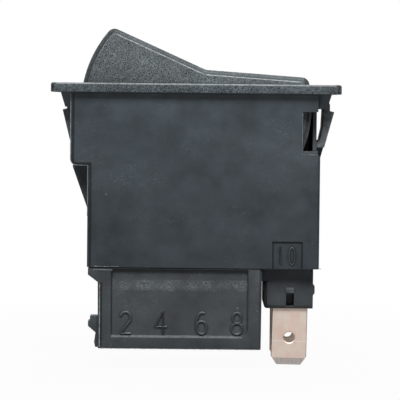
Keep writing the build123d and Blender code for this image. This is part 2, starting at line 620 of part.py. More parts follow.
def tab_block():
    """Return the side block that guides the two wide tabs, with its web and retention slot."""
    web = block(SHROUD_RIGHT - 0.5, BLOCK_RIGHT, -BLOCK_HALF_WIDTH, BLOCK_HALF_WIDTH, WEB_BOTTOM, BASE_TOP)
    outline = polygon((BLOCK_LEFT, BASE_TOP), (BLOCK_LEFT, BLOCK_BOTTOM), (BLOCK_RIGHT, BLOCK_BOTTOM),
                      (BLOCK_RIGHT, -35.6), (BLOCK_RIGHT + 0.3, -35.2), (BLOCK_RIGHT + 0.3, -34.0),
                      (BLOCK_RIGHT, -33.6), (BLOCK_RIGHT, BASE_TOP))
    left_edge = outline.vertices().sort_by_distance((BLOCK_LEFT, BLOCK_BOTTOM))[0]
    block_body = slab(fillet(left_edge, BLOCK_EDGE), -BLOCK_HALF_WIDTH, BLOCK_HALF_WIDTH)
    uprights = block_body.edges().filter_by(Axis.Z).filter_by(lambda e: e.center().X < BLOCK_LEFT + 0.1)
    body = web + chamfer(uprights, BLOCK_EDGE)
    for side in SIDES.values():
        y = side * ROW_Y
        body -= block(TAB_X - 3.6, TAB_X + 3.6, y - POCKET_HALF_WIDTH, y + POCKET_HALF_WIDTH,
                      BLOCK_BOTTOM - 1, FLOOR_BOTTOM)
        face = side * BLOCK_HALF_WIDTH
        body -= block(SLOT_X - SLOT_HALF_WIDTH, SLOT_X + SLOT_HALF_WIDTH, side * SLOT_END_Y, face + side,
                      SLOT_BOTTOM, SLOT_TOP)
        bump = Plane.YZ * polygon((face - side * 0.1, BUMP_TOP), (face + side * BUMP_PROUD / 2, BUMP_TOP),
                                  (face + side * BUMP_PROUD, SLOT_TOP), (face - side * 0.1, SLOT_TOP))
        body += Pos(SLOT_X, 0, 0) * extrude(bump, SLOT_HALF_WIDTH, both=True)
    return body


def posts():
    """Return the pillars inside the housing that carry the terminals' feet and hold the lamps."""
    pillars = []
    for side in SIDES.values():
        y0, y1 = side * (SET_Y - 1.7), side * (ROW_Y - SHEET / 2 - SLIT)
        for end in (-1, 1):
            x = end * FOOT_X
            pillars.append(block(x - 1.6, x + 1.6, y0, y1, BASE_TOP - 0.1, FOOT_TOP - SHEET))
        pillars.append(block(-1.3, 2.0, y0, y1, BASE_TOP - 0.1, FULCRUM_Z - 3.2 - SHEET))
    for x in (LAMP_LEFT_X, LAMP_RIGHT_X):
        holder = block(x - 3.0, x + 3.0, -2.6, 2.6, BASE_TOP - 0.1, LAMP_SEAT - 2.2)
        pillars.append(holder - block(x - 2.15, x + 2.15, -1.15, 1.15, LAMP_SEAT - 3.65, LAMP_SEAT))
    return pillars


def spigot():
    """Return the rim that plugs into the housing, with four lugs that snap into its pockets."""
    left, right = STEP_X + END_WALL + 0.2, OPENING_HALF_LENGTH - 0.25
    outer_y = INNER_HALF_WIDTH - 0.05
    rim = block(left, right, -outer_y, outer_y, BASE_TOP - 0.1, -27.6)
    rim -= block(left + 1, right - 1, -outer_y + 1, outer_y - 1, BASE_TOP - 1, -27)
    for side in SIDES.values():
        for x in (-SNAP_X, SNAP_X):
            wedge = Plane((x, 0, 0), x_dir=(0, 1, 0), z_dir=(1, 0, 0)) * polygon(
                (side * (outer_y - 0.1), -28.0), (side * outer_y, -28.0),
                (side * (outer_y + 0.4), -29.2), (side * (outer_y - 0.1), -29.2))
            rim += extrude(wedge, 2.0, both=True)
    return rim


def base():
    """Return the base: floor, shroud, tab block, pillars and snap rim, slotted for ten terminals."""
    body = shroud() + tab_block() + spigot()
    for pillar in posts():
        body += pillar
    for number in range(1, 9):
        x, y = column_x(number), ROW_Y * (1 if number % 2 else -1)
        body -= block(x - PIN_WIDTH / 2 - SLIT, x + PIN_WIDTH / 2 + SLIT, y - SHEET / 2 - SLIT,
                      y + SHEET / 2 + SLIT, FLOOR_BOTTOM - 1, BASE_TOP)
    for side in SIDES.values():
        y = side * ROW_Y
        body -= block(LAMP_RIGHT_X - 1.5 - SLIT, LAMP_RIGHT_X + 1.5 + SLIT, y - SHEET / 2 - SLIT,
                      y + SHEET / 2 + SLIT, FLOOR_BOTTOM - 1, BASE_TOP)
    return body


# ---------------------------------------------------------------- assembly at rest
def build_nodes():
    """Return every piece by name, at its place with the rocker's right end pressed in."""
    rocker_rest = Pos(0, 0, PIVOT_Z) * Rot(0, REST_TILT, 0)
    blade_rest = Pos(0, 0, FULCRUM_Z) * Rot(0, -BLADE_TILT, 0)
    nodes = {
        "housing": housing(),
        "rocker": rocker_rest * rocker(),
        "base": base(),
        "fixed_contacts": fixed_contacts(),
        "lamp_left": lamp(LAMP_LEFT_X),
        "lamp_right": lamp(LAMP_RIGHT_X),
        "lens_left": rocker_rest * lens(-1),
        "lens_right": rocker_rest * lens(1),
    }
    for name, side in SIDES.items():
        nodes[f"plunger_{name}"] = rocker_rest * plunger(side)
        nodes[f"plunger_spring_{name}"] = rocker_rest * spring(side)
        nodes[f"contact_blade_{name}"] = blade_rest * contact_blade(side)
        nodes[f"moving_contacts_{name}"] = blade_rest * moving_contacts(side)
    for number in range(1, 11):
        side = 1 if number % 2 else -1
        x = column_x(number)
        if number in (1, 2):
            piece = lamp_terminal(x, side)
        elif number in (5, 6):
            piece = common_terminal(x, side)
        elif number in (9, 10):
            piece = tab_terminal(side)
        else:
            piece = throw_terminal(x, -1 if number < 5 else 1, side)
        nodes[f"terminal_{number}"] = piece
    return nodes


def main():
    """Write one STEP file for each piece."""
    os.makedirs("parts", exist_ok=True)
    for name, shape in build_nodes().items():
        export_step(shape, f"parts/{name}.step")


main()
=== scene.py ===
"""Looks of a panel rocker switch: finishes, relief numerals, softened edges, light and camera."""
import json
import logging
import math
from contextlib import contextmanager
from dataclasses import dataclass
from enum import Enum
from typing import Iterator, Sequence

import bpy
from mathutils import Matrix, Vector

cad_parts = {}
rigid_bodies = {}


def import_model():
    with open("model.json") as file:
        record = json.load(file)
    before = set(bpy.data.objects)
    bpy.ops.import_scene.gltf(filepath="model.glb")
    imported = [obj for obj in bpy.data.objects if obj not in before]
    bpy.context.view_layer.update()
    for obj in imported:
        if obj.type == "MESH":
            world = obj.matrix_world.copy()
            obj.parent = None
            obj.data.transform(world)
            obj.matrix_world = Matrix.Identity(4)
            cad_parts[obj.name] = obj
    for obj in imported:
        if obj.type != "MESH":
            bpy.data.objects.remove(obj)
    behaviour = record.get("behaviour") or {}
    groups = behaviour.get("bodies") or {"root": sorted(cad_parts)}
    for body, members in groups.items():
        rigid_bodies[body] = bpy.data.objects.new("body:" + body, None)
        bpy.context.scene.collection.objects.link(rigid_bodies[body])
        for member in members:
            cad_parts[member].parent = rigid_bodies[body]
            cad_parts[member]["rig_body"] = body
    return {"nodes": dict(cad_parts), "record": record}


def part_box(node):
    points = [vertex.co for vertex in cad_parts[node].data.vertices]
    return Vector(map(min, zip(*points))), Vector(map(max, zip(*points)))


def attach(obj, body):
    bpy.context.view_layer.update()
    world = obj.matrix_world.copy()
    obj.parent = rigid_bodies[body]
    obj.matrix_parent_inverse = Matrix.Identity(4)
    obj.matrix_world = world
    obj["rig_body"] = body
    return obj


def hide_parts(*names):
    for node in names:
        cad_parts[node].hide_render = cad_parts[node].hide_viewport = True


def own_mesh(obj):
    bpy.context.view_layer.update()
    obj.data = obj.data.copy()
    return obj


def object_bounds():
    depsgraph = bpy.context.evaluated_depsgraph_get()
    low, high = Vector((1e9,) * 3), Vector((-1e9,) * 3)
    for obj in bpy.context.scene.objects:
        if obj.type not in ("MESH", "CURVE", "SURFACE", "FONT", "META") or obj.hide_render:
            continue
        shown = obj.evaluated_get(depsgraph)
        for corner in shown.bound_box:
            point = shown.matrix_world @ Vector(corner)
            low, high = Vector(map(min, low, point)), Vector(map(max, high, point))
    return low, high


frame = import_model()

MM = 0.001
CAD_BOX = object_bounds()
LOG = logging.getLogger("switch")
# The attribute carries each face's wear together with its painted highlight and painted light.
WEAR_AND_HIGHLIGHT = "wear"
GRAIN = "grain"

Colour = tuple[float, float, float, float]
Flat = tuple[float, float]
Point = tuple[float, float, float]
Piece = bpy.types.Object
Node = bpy.types.Node
Source = bpy.types.Node | bpy.types.NodeSocket  # a node stands for its first output
Tree = bpy.types.NodeTree

# Main edges of the two mouldings, in millimetres from the middle of the bezel's underside.
BEZEL_END = 25.4
TUB_LEFT = -21.95
STEP_X, STEP_Z, STEP_RADIUS = -18.92, -12.8, 1.1
SEAM_Z = -30.7
RECESS_LEFT, RECESS_RIGHT, RECESS_TOP = 13.7, 19.0, -26.1
SHROUD_LEFT, SHROUD_FOOT = -17.0, -45.0
PANEL_LEFT, PANEL_RIGHT = -14.58, 9.42
SLOT_X, SLOT_HALF_WIDTH, SLOT_TOP, SLOT_FOOT = 17.0, 0.72, -35.2, -37.65
PIVOT_Z, ROCKER_RADIUS = -2.4, 20.35


# ------------------------------------------------------------------ small helpers
def linear(hex_code: str) -> Colour:
    """Turn an sRGB hex value into linear RGBA.

    Args:
        hex_code: Six hexadecimal digits, such as "41474c".

    Returns:
        The linear colour with an alpha of 1.
    """
    channels = [int(hex_code[i:i + 2], 16) / 255 for i in (0, 2, 4)]
    curved = [c / 12.92 if c <= 0.04045 else ((c + 0.055) / 1.055) ** 2.4 for c in channels]
    return (*curved, 1.0)


def add_node(tree: Tree, kind: str, settings: dict | None = None, links: dict | None = None) -> Node:
    """Add a shader node with its settings and links.

    Args:
        tree: The node tree to add to.
        kind: The node's type name after "ShaderNode".
        settings: Attributes by name, and socket values by socket name or number.
        links: What feeds each input, by the input's name or number.

    Returns:
        The new node.
    """
    node = tree.nodes.new(f"ShaderNode{kind}")
    for key, value in (settings or {}).items():
        if isinstance(key, str) and hasattr(node, key):
            setattr(node, key, value)
        else:
            node.inputs[key].default_value = value
    for key, source in (links or {}).items():
        tree.links.new(source.outputs[0] if isinstance(source, Node) else source, node.inputs[key])
    return node


def new_material(name: str) -> bpy.types.Material:
    """Make a material with the shader that Blender gives it.

    Args:
        name: The material's name.

    Returns:
        The new material.
    """
    material = bpy.data.materials.new(name)
    material.use_nodes = True
    return material


def select_only(piece: Piece) -> None:
    """Deselect everything, then select one object and make it active.

    Args:
        piece: The object to select.
    """
    if bpy.context.mode != "OBJECT":
        bpy.ops.object.mode_set(mode="OBJECT")
    bpy.ops.object.select_all(action="DESELECT")
    piece.select_set(True)
    bpy.context.view_layer.objects.active = piece


@contextmanager
def merged_in_edit_mode(piece: Piece, reach_mm: float = 0.002) -> Iterator[None]:
    """Open a piece in edit mode, all selected and its doubles merged, and close it again.

    Args:
        piece: The piece to edit.
        reach_mm: How near two vertices are when they are taken as one.

    Yields:
        Nothing, while the mesh is open for the edit operators.
    """
    select_only(piece)
    bpy.ops.object.mode_set(mode="EDIT")
    bpy.ops.mesh.select_all(action="SELECT")
    bpy.ops.mesh.remove_doubles(threshold=reach_mm * MM)
    yield
    bpy.ops.object.mode_set(mode="OBJECT")


def apply_modifiers(piece: Piece) -> None:
    """Apply every modifier on a piece, in order.

    Args:
        piece: The piece, which keeps its shape and loses its modifiers.
    """
    select_only(piece)
    for name in [m.name for m in piece.modifiers]:
        bpy.ops.object.modifier_apply(modifier=name)


def smooth(piece: Piece, angle_deg: float) -> None:
    """Shade a piece smooth over every edge that turns less than an angle."""
    select_only(piece)
    bpy.ops.object.shade_smooth_by_angle(angle=math.radians(angle_deg))


def dress(piece: Piece, material: bpy.types.Material) -> None:
    """Give a piece one material in every slot.

    Args:
        piece: The piece to dress.
        material: Its material.
    """
    if not piece.material_slots:
        piece.data.materials.append(material)
    for material_slot in piece.material_slots:
        material_slot.material = material


def mark_faces(piece: Piece, name: str, values: Sequence[float]) -> None:
    """Write one value for each face as an attribute that the finishes read."""
    piece.data.attributes.new(name, "FLOAT", "FACE").data.foreach_set("value", values)


# ------------------------------------------------------------------ finishes
class Texture(Enum):
    """How a tool surface was made before the plastic was moulded against it."""

    SATIN = "satin"
    SPARK = "spark eroded"


@dataclass(frozen=True)
class PaintedShadeAndLightBand:
    """A band of painted shade with soft borders, in millimetres.

    It darkens the skin as painted shade beside edges, under overhangs and round recesses. With a
    depth below 0 it is painted light instead, paler than the rest, where a slot is dark from shade.
    """

    left: float
    right: float
    foot: float
    top: float
    depth: float = 0.7
    soft: float = 0.1

    def mask(self, tree: Tree, axes: Node) -> Source:
        """Add the nodes that say how far inside the band a place is.

        Args:
            tree: The material's node tree.
            axes: The node that splits the place into its three axes.

        Returns:
            The band's factor, which is its depth inside and 0 outside.
        """
        shares = []
        for axis, low, high, most in (("X", self.left, self.right, self.depth),
                                      ("Z", self.foot, self.top, 1.0)):
            middle, half = (low + high) / 2, (high - low) / 2
            away = add_node(
                tree, "Math", {"operation": "SUBTRACT", 1: middle * MM}, {0: axes.outputs[axis]})
            away = add_node(tree, "Math", {"operation": "ABSOLUTE"}, {0: away})
            shares.append(add_node(
                tree, "MapRange",
                {"From Min": (half + self.soft) * MM, "From Max": (half - self.soft) * MM, "To Max": most},
                {"Value": away}))
        return add_node(tree, "Math", {"operation": "MULTIPLY"}, dict(enumerate(shares)))


@dataclass(frozen=True)
class PaintedShadeRing:
    """A smooth ring of painted shade round a pivot, in millimetres, on the rocker's rim."""

    pivot_z: float
    inner: float
    outer: float
    plain: float = 0.3
    depth: float = 0.6

    def mask(self, tree: Tree, axes: Node) -> Source:
        """Add the nodes that say how far inside the ring a place is.

        Args:
            tree: The material's node tree.
            axes: The node that splits the place into its three axes.

        Returns:
            The ring's factor, sharp at its inner edge, plain over its first stretch and then
            fading to its outer edge.
        """
        drop = add_node(
            tree, "Math", {"operation": "SUBTRACT", 1: self.pivot_z * MM}, {0: axes.outputs["Z"]})
        flat = add_node(tree, "CombineXYZ", {}, {"X": axes.outputs["X"], "Z": drop})
        reach = add_node(tree, "VectorMath", {"operation": "LENGTH"}, {0: flat})
        inside = add_node(
            tree, "Math", {"operation": "GREATER_THAN", 1: self.inner * MM}, {0: reach.outputs["Value"]})
        fade = add_node(
            tree, "MapRange",
            {"From Min": self.outer * MM, "From Max": (self.inner + self.plain) * MM, "To Max": self.depth},
            {"Value": reach.outputs["Value"]})
        return add_node(tree, "Math", {"operation": "MULTIPLY"}, {0: inside, 1: fade})


@dataclass(frozen=True)
class MouldedNylon:
    """Glass-filled nylon as it leaves the tool: near black, dry, with paler worn edges that carry a painted
    highlight.

    A spark-eroded face is a field of tiny pits, which break the light into specks. Real pits are
    too fine to show, so they are drawn 0.12 to 0.15 mm wide. A satin face is smooth to the eye,
    with flow clouds, faint scuffs and a little dust.
    """

    name: str
    colour: str
    wear_and_highlight: str
    texture: Texture
    roughness: float = 0.5
    specular: float = 0.25
    ior: float = 1.53
    pit_mm: float = 0.15
    pit_depth_mm: float = 0.05
    pit_gain: float = 3.2
    satin_gain: float = 0.6
    grain_patch_mm: float = 2.4
    cloud_mm: float = 3.2
    cloud_amount: float = 0.16
    # A painted sheen: the tone rises by the gain between these two heights, towards the top.
    painted_sheen_mm: Flat | None = None
    painted_sheen_gain: float = 1.32
    painted_shade_bands: tuple[PaintedShadeAndLightBand | PaintedShadeRing, ...] = ()
    crevice_mm: float = 0.45
    wear_and_highlight_patch_mm: float = 0.7
    scuff_mm: float = 0.3
    scuff_patch_mm: float = 7.0
    scuff_most: float = 0.14
    dust: float = 0.35
    dust_mm: float = 2.6
    dust_colour: str = "a9adad"
    grain_band_mm: Flat | None = None
    grain_colour: str | None = None

    def build(self) -> bpy.types.Material:
        """Make the material.

        Returns:
            A node material that reads Object coordinates and the piece's own attribute of wear and painted
            highlight.
        """
        material = new_material(self.name)
        tree = material.node_tree
        shader = tree.nodes["Principled BSDF"]
        shader.inputs["IOR"].default_value = self.ior
        shader.inputs["Specular IOR Level"].default_value = self.specular
        place = add_node(tree, "TexCoord").outputs["Object"]
        grain = self.grain_mask(tree, place)
        pits = add_node(
            tree, "TexNoise", {"Scale": 1 / (self.pit_mm * MM), "Detail": 1.0}, {"Vector": place})
        skin = add_node(
            tree, "Mix",
            {"data_type": "RGBA", 6: linear(self.colour), 7: linear(self.grain_colour or self.colour)},
            {0: grain})
        colour = add_node(
            tree, "VectorMath", {"operation": "SCALE"},
            {0: skin.outputs[2], "Scale": self.tone(tree, place, pits, grain)})
        # Scuffs and dust are real marks; the edge share is wear with a painted highlight mixed in.
        for pale, share in ((self.wear_and_highlight, self.scuffs(tree, place)),
                            (self.wear_and_highlight, self.edge_wear_and_highlight(tree, place)),
                            (self.dust_colour, self.dust_specks(tree, place))):
            colour = add_node(
                tree, "Mix", {"data_type": "RGBA", 7: linear(pale)}, {0: share, 6: colour}).outputs[2]
        tree.links.new(colour, shader.inputs["Base Color"])
        rough = add_node(
            tree, "MapRange",
            {"From Min": 0.3, "From Max": 0.7, "To Min": self.roughness - 0.05,
             "To Max": self.roughness + 0.05}, {"Value": pits})
        tree.links.new(rough.outputs["Result"], shader.inputs["Roughness"])
        strength = add_node(tree, "MapRange", {"To Min": 0.12, "To Max": 0.75}, {"Value": grain})
        bump = add_node(
            tree, "Bump", {"Distance": self.pit_depth_mm * MM}, {"Height": pits, "Strength": strength})
        tree.links.new(bump.outputs["Normal"], shader.inputs["Normal"])
        return material

    def grain_mask(self, tree: Tree, place: Source) -> Source:
        """Say where the skin is spark-eroded: by the texture, a band of height or the piece's faces.

        Args:
            tree: The material's node tree.
            place: The coordinates that the mask reads.

        Returns:
            A factor of 1 on grained skin and 0 on satin skin.
        """
        everywhere, nowhere = (-1e4, 1e4), (1e4, 2e4)
        low, high = self.grain_band_mm or (everywhere if self.texture is Texture.SPARK else nowhere)
        height = add_node(tree, "SeparateXYZ", {}, {"Vector": place}).outputs["Z"]
        above = add_node(tree, "Math", {"operation": "GREATER_THAN", 1: low * MM}, {0: height})
        below = add_node(tree, "Math", {"operation": "LESS_THAN", 1: high * MM}, {0: height})
        band = add_node(tree, "Math", {"operation": "MULTIPLY"}, {0: above, 1: below})
        patches = add_node(tree, "TexNoise", {"Scale": 1 / (self.grain_patch_mm * MM)}, {"Vector": place})
        patch = add_node(tree, "MapRange", {"From Min": 0.38, "From Max": 0.6}, {"Value": patches})
        own = add_node(tree, "Attribute", {"attribute_name": GRAIN})
        return add_node(
            tree, "Math", {"operation": "MULTIPLY_ADD"}, {0: own.outputs["Fac"], 1: patch, 2: band})

    def tone(self, tree: Tree, place: Source, pits: Node, grain: Source) -> Source:
        """Put together all that makes the skin darker or paler than its plain colour, painted shade and
        painted light among it.

        Args:
            tree: The material's node tree.
            place: The coordinates that the patterns read.
            pits: The pit noise.
            grain: The grain mask.

        Returns:
            The factor that the plain colour is multiplied by.
        """
        axes = add_node(tree, "SeparateXYZ", {}, {"Vector": place})
        factors = [self.speck_tone(tree, pits, grain), self.painted_corner_shade(tree)]
        # The bands and rings are painted shade, and painted light where their depth is below 0.
        for band in self.painted_shade_bands:
            kept = add_node(tree, "Math", {"operation": "SUBTRACT", 0: 1.0}, {1: band.mask(tree, axes)})
            factors.append(kept)
        tone = self.cloud_tone(tree, place)
        for factor in factors:
            tone = add_node(tree, "Math", {"operation": "MULTIPLY"}, {0: tone, 1: factor})
        return tone

    def cloud_tone(self, tree: Tree, place: Source) -> Source:
        """Vary the tone slowly, as the melt's flow leaves it, with a painted sheen that brightens the skin
        towards the top.

        Args:
            tree: The material's node tree.
            place: The coordinates that the pattern reads.

        Returns:
            A factor about 1.
        """
        fine = add_node(
            tree, "TexNoise", {"Scale": 1 / (self.cloud_mm * MM), "Detail": 3.0}, {"Vector": place})
        broad = add_node(
            tree, "TexNoise", {"Scale": 1 / (3.5 * self.cloud_mm * MM), "Detail": 1.0}, {"Vector": place})
        both = add_node(tree, "Math", {"operation": "ADD"}, {0: fine, 1: broad})
        most = 2 * self.cloud_amount
        tone = add_node(
            tree, "MapRange", {"From Min": 0.65, "From Max": 1.35, "To Min": 1 - most, "To Max": 1 + most},
            {"Value": both})
        if self.painted_sheen_mm is None:
            return tone
        low, high = self.painted_sheen_mm
        height = add_node(tree, "SeparateXYZ", {}, {"Vector": place}).outputs["Z"]
        painted_sheen = add_node(
            tree, "MapRange",
            {"From Min": low * MM, "From Max": high * MM, "To Min": 1.0, "To Max": self.painted_sheen_gain},
            {"Value": height})
        return add_node(tree, "Math", {"operation": "MULTIPLY"}, {0: tone, 1: painted_sheen})

    def speck_tone(self, tree: Tree, pits: Node, grain: Source) -> Source:
        """Darken the pits and brighten the lands between them, strongly on grained skin.

        Args:
            tree: The material's node tree.
            pits: The pit noise.
            grain: The grain mask.

        Returns:
            A factor about 1.
        """
        centred = add_node(tree, "Math", {"operation": "SUBTRACT", 1: 0.5}, {0: pits})
        gain = add_node(
            tree, "MapRange", {"To Min": self.satin_gain, "To Max": self.pit_gain}, {"Value": grain})
        return add_node(tree, "Math", {"operation": "MULTIPLY_ADD", 2: 1.0}, {0: centred, 1: gain})

    def openness(self, tree: Tree) -> Source:
        """Return how open a place is, from 0 deep in a crevice to 1 on a flat face."""
        return add_node(
            tree, "AmbientOcclusion", {"samples": 8, "Distance": self.crevice_mm * MM}).outputs["AO"]

    def painted_corner_shade(self, tree: Tree) -> Source:
        """Paint shade into the inside corners, darker the less open a place is.

        Args:
            tree: The material's node tree.

        Returns:
            A factor of 1 on open faces that falls in the corners.
        """
        return add_node(
            tree, "MapRange", {"From Min": 0.45, "From Max": 0.95, "To Min": 0.15},
            {"Value": self.openness(tree)})

    def scuffs(self, tree: Tree, place: Source) -> Source:
        """Lay patches of short, faint, pale scuffs, as a part gets from loose storage.

        Args:
            tree: The material's node tree.
            place: The coordinates that the pattern reads.

        Returns:
            A factor that is 0 over most of the piece and small in the patches.
        """
        drawn = add_node(
            tree, "Mapping", {"Rotation": (0.0, 0.7, 0.0), "Scale": (0.5, 1.0, 1.0)}, {"Vector": place})
        marks = add_node(
            tree, "TexNoise", {"Scale": 1 / (self.scuff_mm * MM), "Detail": 3.0, "Distortion": 1.5},
            {"Vector": drawn})
        mark = add_node(tree, "MapRange", {"From Min": 0.56, "From Max": 0.72}, {"Value": marks})
        patches = add_node(tree, "TexNoise", {"Scale": 1 / (self.scuff_patch_mm * MM)}, {"Vector": place})
        patch = add_node(
            tree, "MapRange", {"From Min": 0.5, "From Max": 0.66, "To Max": self.scuff_most},
            {"Value": patches})
        return add_node(tree, "Math", {"operation": "MULTIPLY"}, {0: mark, 1: patch})

    def edge_wear_and_highlight(self, tree: Tree, place: Source) -> Source:
        """Show the wear and painted highlight that the piece's own attribute gives, broken up and kept out
        of crevices.

        Args:
            tree: The material's node tree.
            place: The coordinates that the pattern reads.

        Returns:
            A factor from 0 on the flats to nearly 1 on the most worn and most highlighted edges.
        """
        wear = add_node(tree, "Attribute", {"attribute_name": WEAR_AND_HIGHLIGHT})
        patches = add_node(
            tree, "TexNoise", {"Scale": 1 / (self.wear_and_highlight_patch_mm * MM), "Detail": 3.0}, {"Vector": place})
        breakup = add_node(
            tree, "MapRange", {"From Min": 0.35, "From Max": 0.6, "To Min": 0.45}, {"Value": patches})
        reached = add_node(
            tree, "MapRange", {"From Min": 0.4, "From Max": 0.75}, {"Value": self.openness(tree)})
        broken = add_node(tree, "Math", {"operation": "MULTIPLY"}, {0: wear.outputs["Fac"], 1: breakup})
        return add_node(tree, "Math", {"operation": "MULTIPLY"}, {0: broken, 1: reached})

    def dust_specks(self, tree: Tree, place: Source) -> Source:
        """Scatter a few pale specks of dust and lint.

        Args:
            tree: The material's node tree.
            place: The coordinates that the pattern reads.

        Returns:
            A factor that is 0 nearly everywhere.
        """
        cells = add_node(tree, "TexVoronoi", {"Scale": 1 / (self.dust_mm * MM)}, {"Vector": place})
        core = add_node(tree, "MapRange", {"From Min": 0.075, "From Max": 0.03}, {"Value": cells})
        chosen = add_node(tree, "SeparateColor", {}, {"Color": cells.outputs["Color"]})
        kept = add_node(
            tree, "MapRange", {"From Min": 0.86, "From Max": 0.9, "To Max": self.dust},
            {"Value": chosen.outputs["Red"]})
        return add_node(tree, "Math", {"operation": "MULTIPLY"}, {0: core, 1: kept})


@dataclass(frozen=True)
class StampedMetal:
    """Strip metal, rolled then stamped: fine draw lines along one axis and a soft, dull shine.

    Its sheared sides may be darker. A blade that has been in use also has a torn end, where the
    coining tool dragged the plating, and a clip's bright scratch across it. Real draw lines are
    finer than the 0.12 mm that they are drawn here, so that they show.
    """

    name: str
    colour: str
    stain: str
    roughness: float
    line_mm: float = 0.12
    line_squeeze: float = 0.06
    stain_mm: float = 1.6
    stain_squeeze: float = 0.7
    stain_amount: float = 0.5
    sheared_tone: float = 1.0
    torn: str = "b9babb"
    torn_below_mm: float | None = None
    scratch: str = "ffffff"
    scratch_at_mm: float | None = None
    scratch_wander_mm: float = 0.5

    def build(self) -> bpy.types.Material:
        """Make the material.

        Returns:
            A metallic node material that reads Object coordinates.
        """
        material = new_material(self.name)
        tree = material.node_tree
        shader = tree.nodes["Principled BSDF"]
        shader.inputs["Metallic"].default_value = 1.0
        place = add_node(tree, "TexCoord").outputs["Object"]
        stretched = add_node(tree, "Mapping", {"Scale": (1.0, 1.0, self.line_squeeze)}, {"Vector": place})
        lines = add_node(tree, "TexNoise", {"Scale": 1 / (self.line_mm * MM)}, {"Vector": stretched})
        colour = self.stained(tree, place)
        if self.torn_below_mm is not None:
            colour = self.torn_end(tree, place, lines, colour)
        if self.scratch_at_mm is not None:
            colour = self.scratched(tree, place, colour)
        if self.sheared_tone < 1.0:
            colour = self.sheared_sides(tree, colour)
        tree.links.new(colour, shader.inputs["Base Color"])
        rough = add_node(
            tree, "MapRange", {"To Min": self.roughness - 0.1, "To Max": self.roughness + 0.12},
            {"Value": lines})
        tree.links.new(rough.outputs["Result"], shader.inputs["Roughness"])
        bump = add_node(tree, "Bump", {"Strength": 0.35, "Distance": 0.01 * MM}, {"Height": lines})
        tree.links.new(bump.outputs["Normal"], shader.inputs["Normal"])
        return material

    def stained(self, tree: Tree, place: Source) -> Source:
        """Lay soft stains on the plain colour, a little longer than wide.

        Args:
            tree: The material's node tree.
            place: The coordinates that the stains read.

        Returns:
            The colour with its stains.
        """
        drawn = add_node(tree, "Mapping", {"Scale": (1.0, 1.0, self.stain_squeeze)}, {"Vector": place})
        stains = add_node(
            tree, "TexNoise", {"Scale": 1 / (self.stain_mm * MM), "Detail": 5.0, "Roughness": 0.6},
            {"Vector": drawn})
        spread = add_node(
            tree, "MapRange",
            {"From Min": 0.4, "From Max": 0.66, "To Max": self.stain_amount},
            {"Value": stains})
        return add_node(
            tree, "Mix", {"data_type": "RGBA", 6: linear(self.colour), 7: linear(self.stain)},
            {0: spread}).outputs[2]

    def torn_end(self, tree: Tree, place: Source, lines: Source, colour: Source) -> Source:
        """Grey the blade's coined end in streaks.

        Args:
            tree: The material's node tree.
            place: The coordinates that the end is found by.
            lines: The draw lines' noise.
            colour: The colour so far.

        Returns:
            The colour with its torn end.
        """
        height = add_node(tree, "SeparateXYZ", {}, {"Vector": place}).outputs["Z"]
        end = add_node(tree, "Math", {"operation": "LESS_THAN", 1: self.torn_below_mm * MM}, {0: height})
        streaks = add_node(
            tree, "MapRange", {"From Min": 0.4, "From Max": 0.58, "To Min": 0.35, "To Max": 0.95},
            {"Value": lines})
        torn = add_node(tree, "Math", {"operation": "MULTIPLY"}, {0: end, 1: streaks})
        return add_node(
            tree, "Mix", {"data_type": "RGBA", 7: linear(self.torn)}, {0: torn, 6: colour}).outputs[2]

    def scratched(self, tree: Tree, place: Source, colour: Source) -> Source:
        """Draw a clip's thin bright scratch across the blade, a little uneven in height.

        Args:
            tree: The material's node tree.
            place: The coordinates that the scratch reads.
            colour: The colour so far.

        Returns:
            The colour with its scratch.
        """
        height = add_node(tree, "SeparateXYZ", {}, {"Vector": place}).outputs["Z"]
        wander = add_node(tree, "TexNoise", {"Scale": 1 / (2.5 * MM)}, {"Vector": place})
        lowest_mm = self.scratch_at_mm - self.scratch_wander_mm / 2
        line_z = add_node(
            tree, "Math",
            {"operation": "MULTIPLY_ADD", 1: self.scratch_wander_mm * MM, 2: lowest_mm * MM}, {0: wander})
        away = add_node(tree, "Math", {"operation": "SUBTRACT"}, {0: height, 1: line_z})
        away = add_node(tree, "Math", {"operation": "ABSOLUTE"}, {0: away})
        share = add_node(
            tree, "MapRange", {"From Min": 0.09 * MM, "From Max": 0.03 * MM, "To Max": 0.45},
            {"Value": away})
        return add_node(
            tree, "Mix", {"data_type": "RGBA", 7: linear(self.scratch)}, {0: share, 6: colour}).outputs[2]

    def sheared_sides(self, tree: Tree, colour: Source) -> Source:
        """Darken the sides that face along X, where the shear left the metal bare.

        Args:
            tree: The material's node tree.
            colour: The colour so far.

        Returns:
            The colour with its darker sides.
        """
        way = add_node(tree, "SeparateXYZ", {}, {"Vector": add_node(tree, "TexCoord").outputs["Normal"]})
        aside = add_node(tree, "Math", {"operation": "ABSOLUTE"}, {0: way.outputs["X"]})
        tone = add_node(
            tree, "MapRange",
            {"From Min": 0.25, "From Max": 0.5, "To Min": 1.0, "To Max": self.sheared_tone},
            {"Value": aside})
        return add_node(
            tree, "VectorMath", {"operation": "SCALE"}, {0: colour, "Scale": tone}).outputs["Vector"]


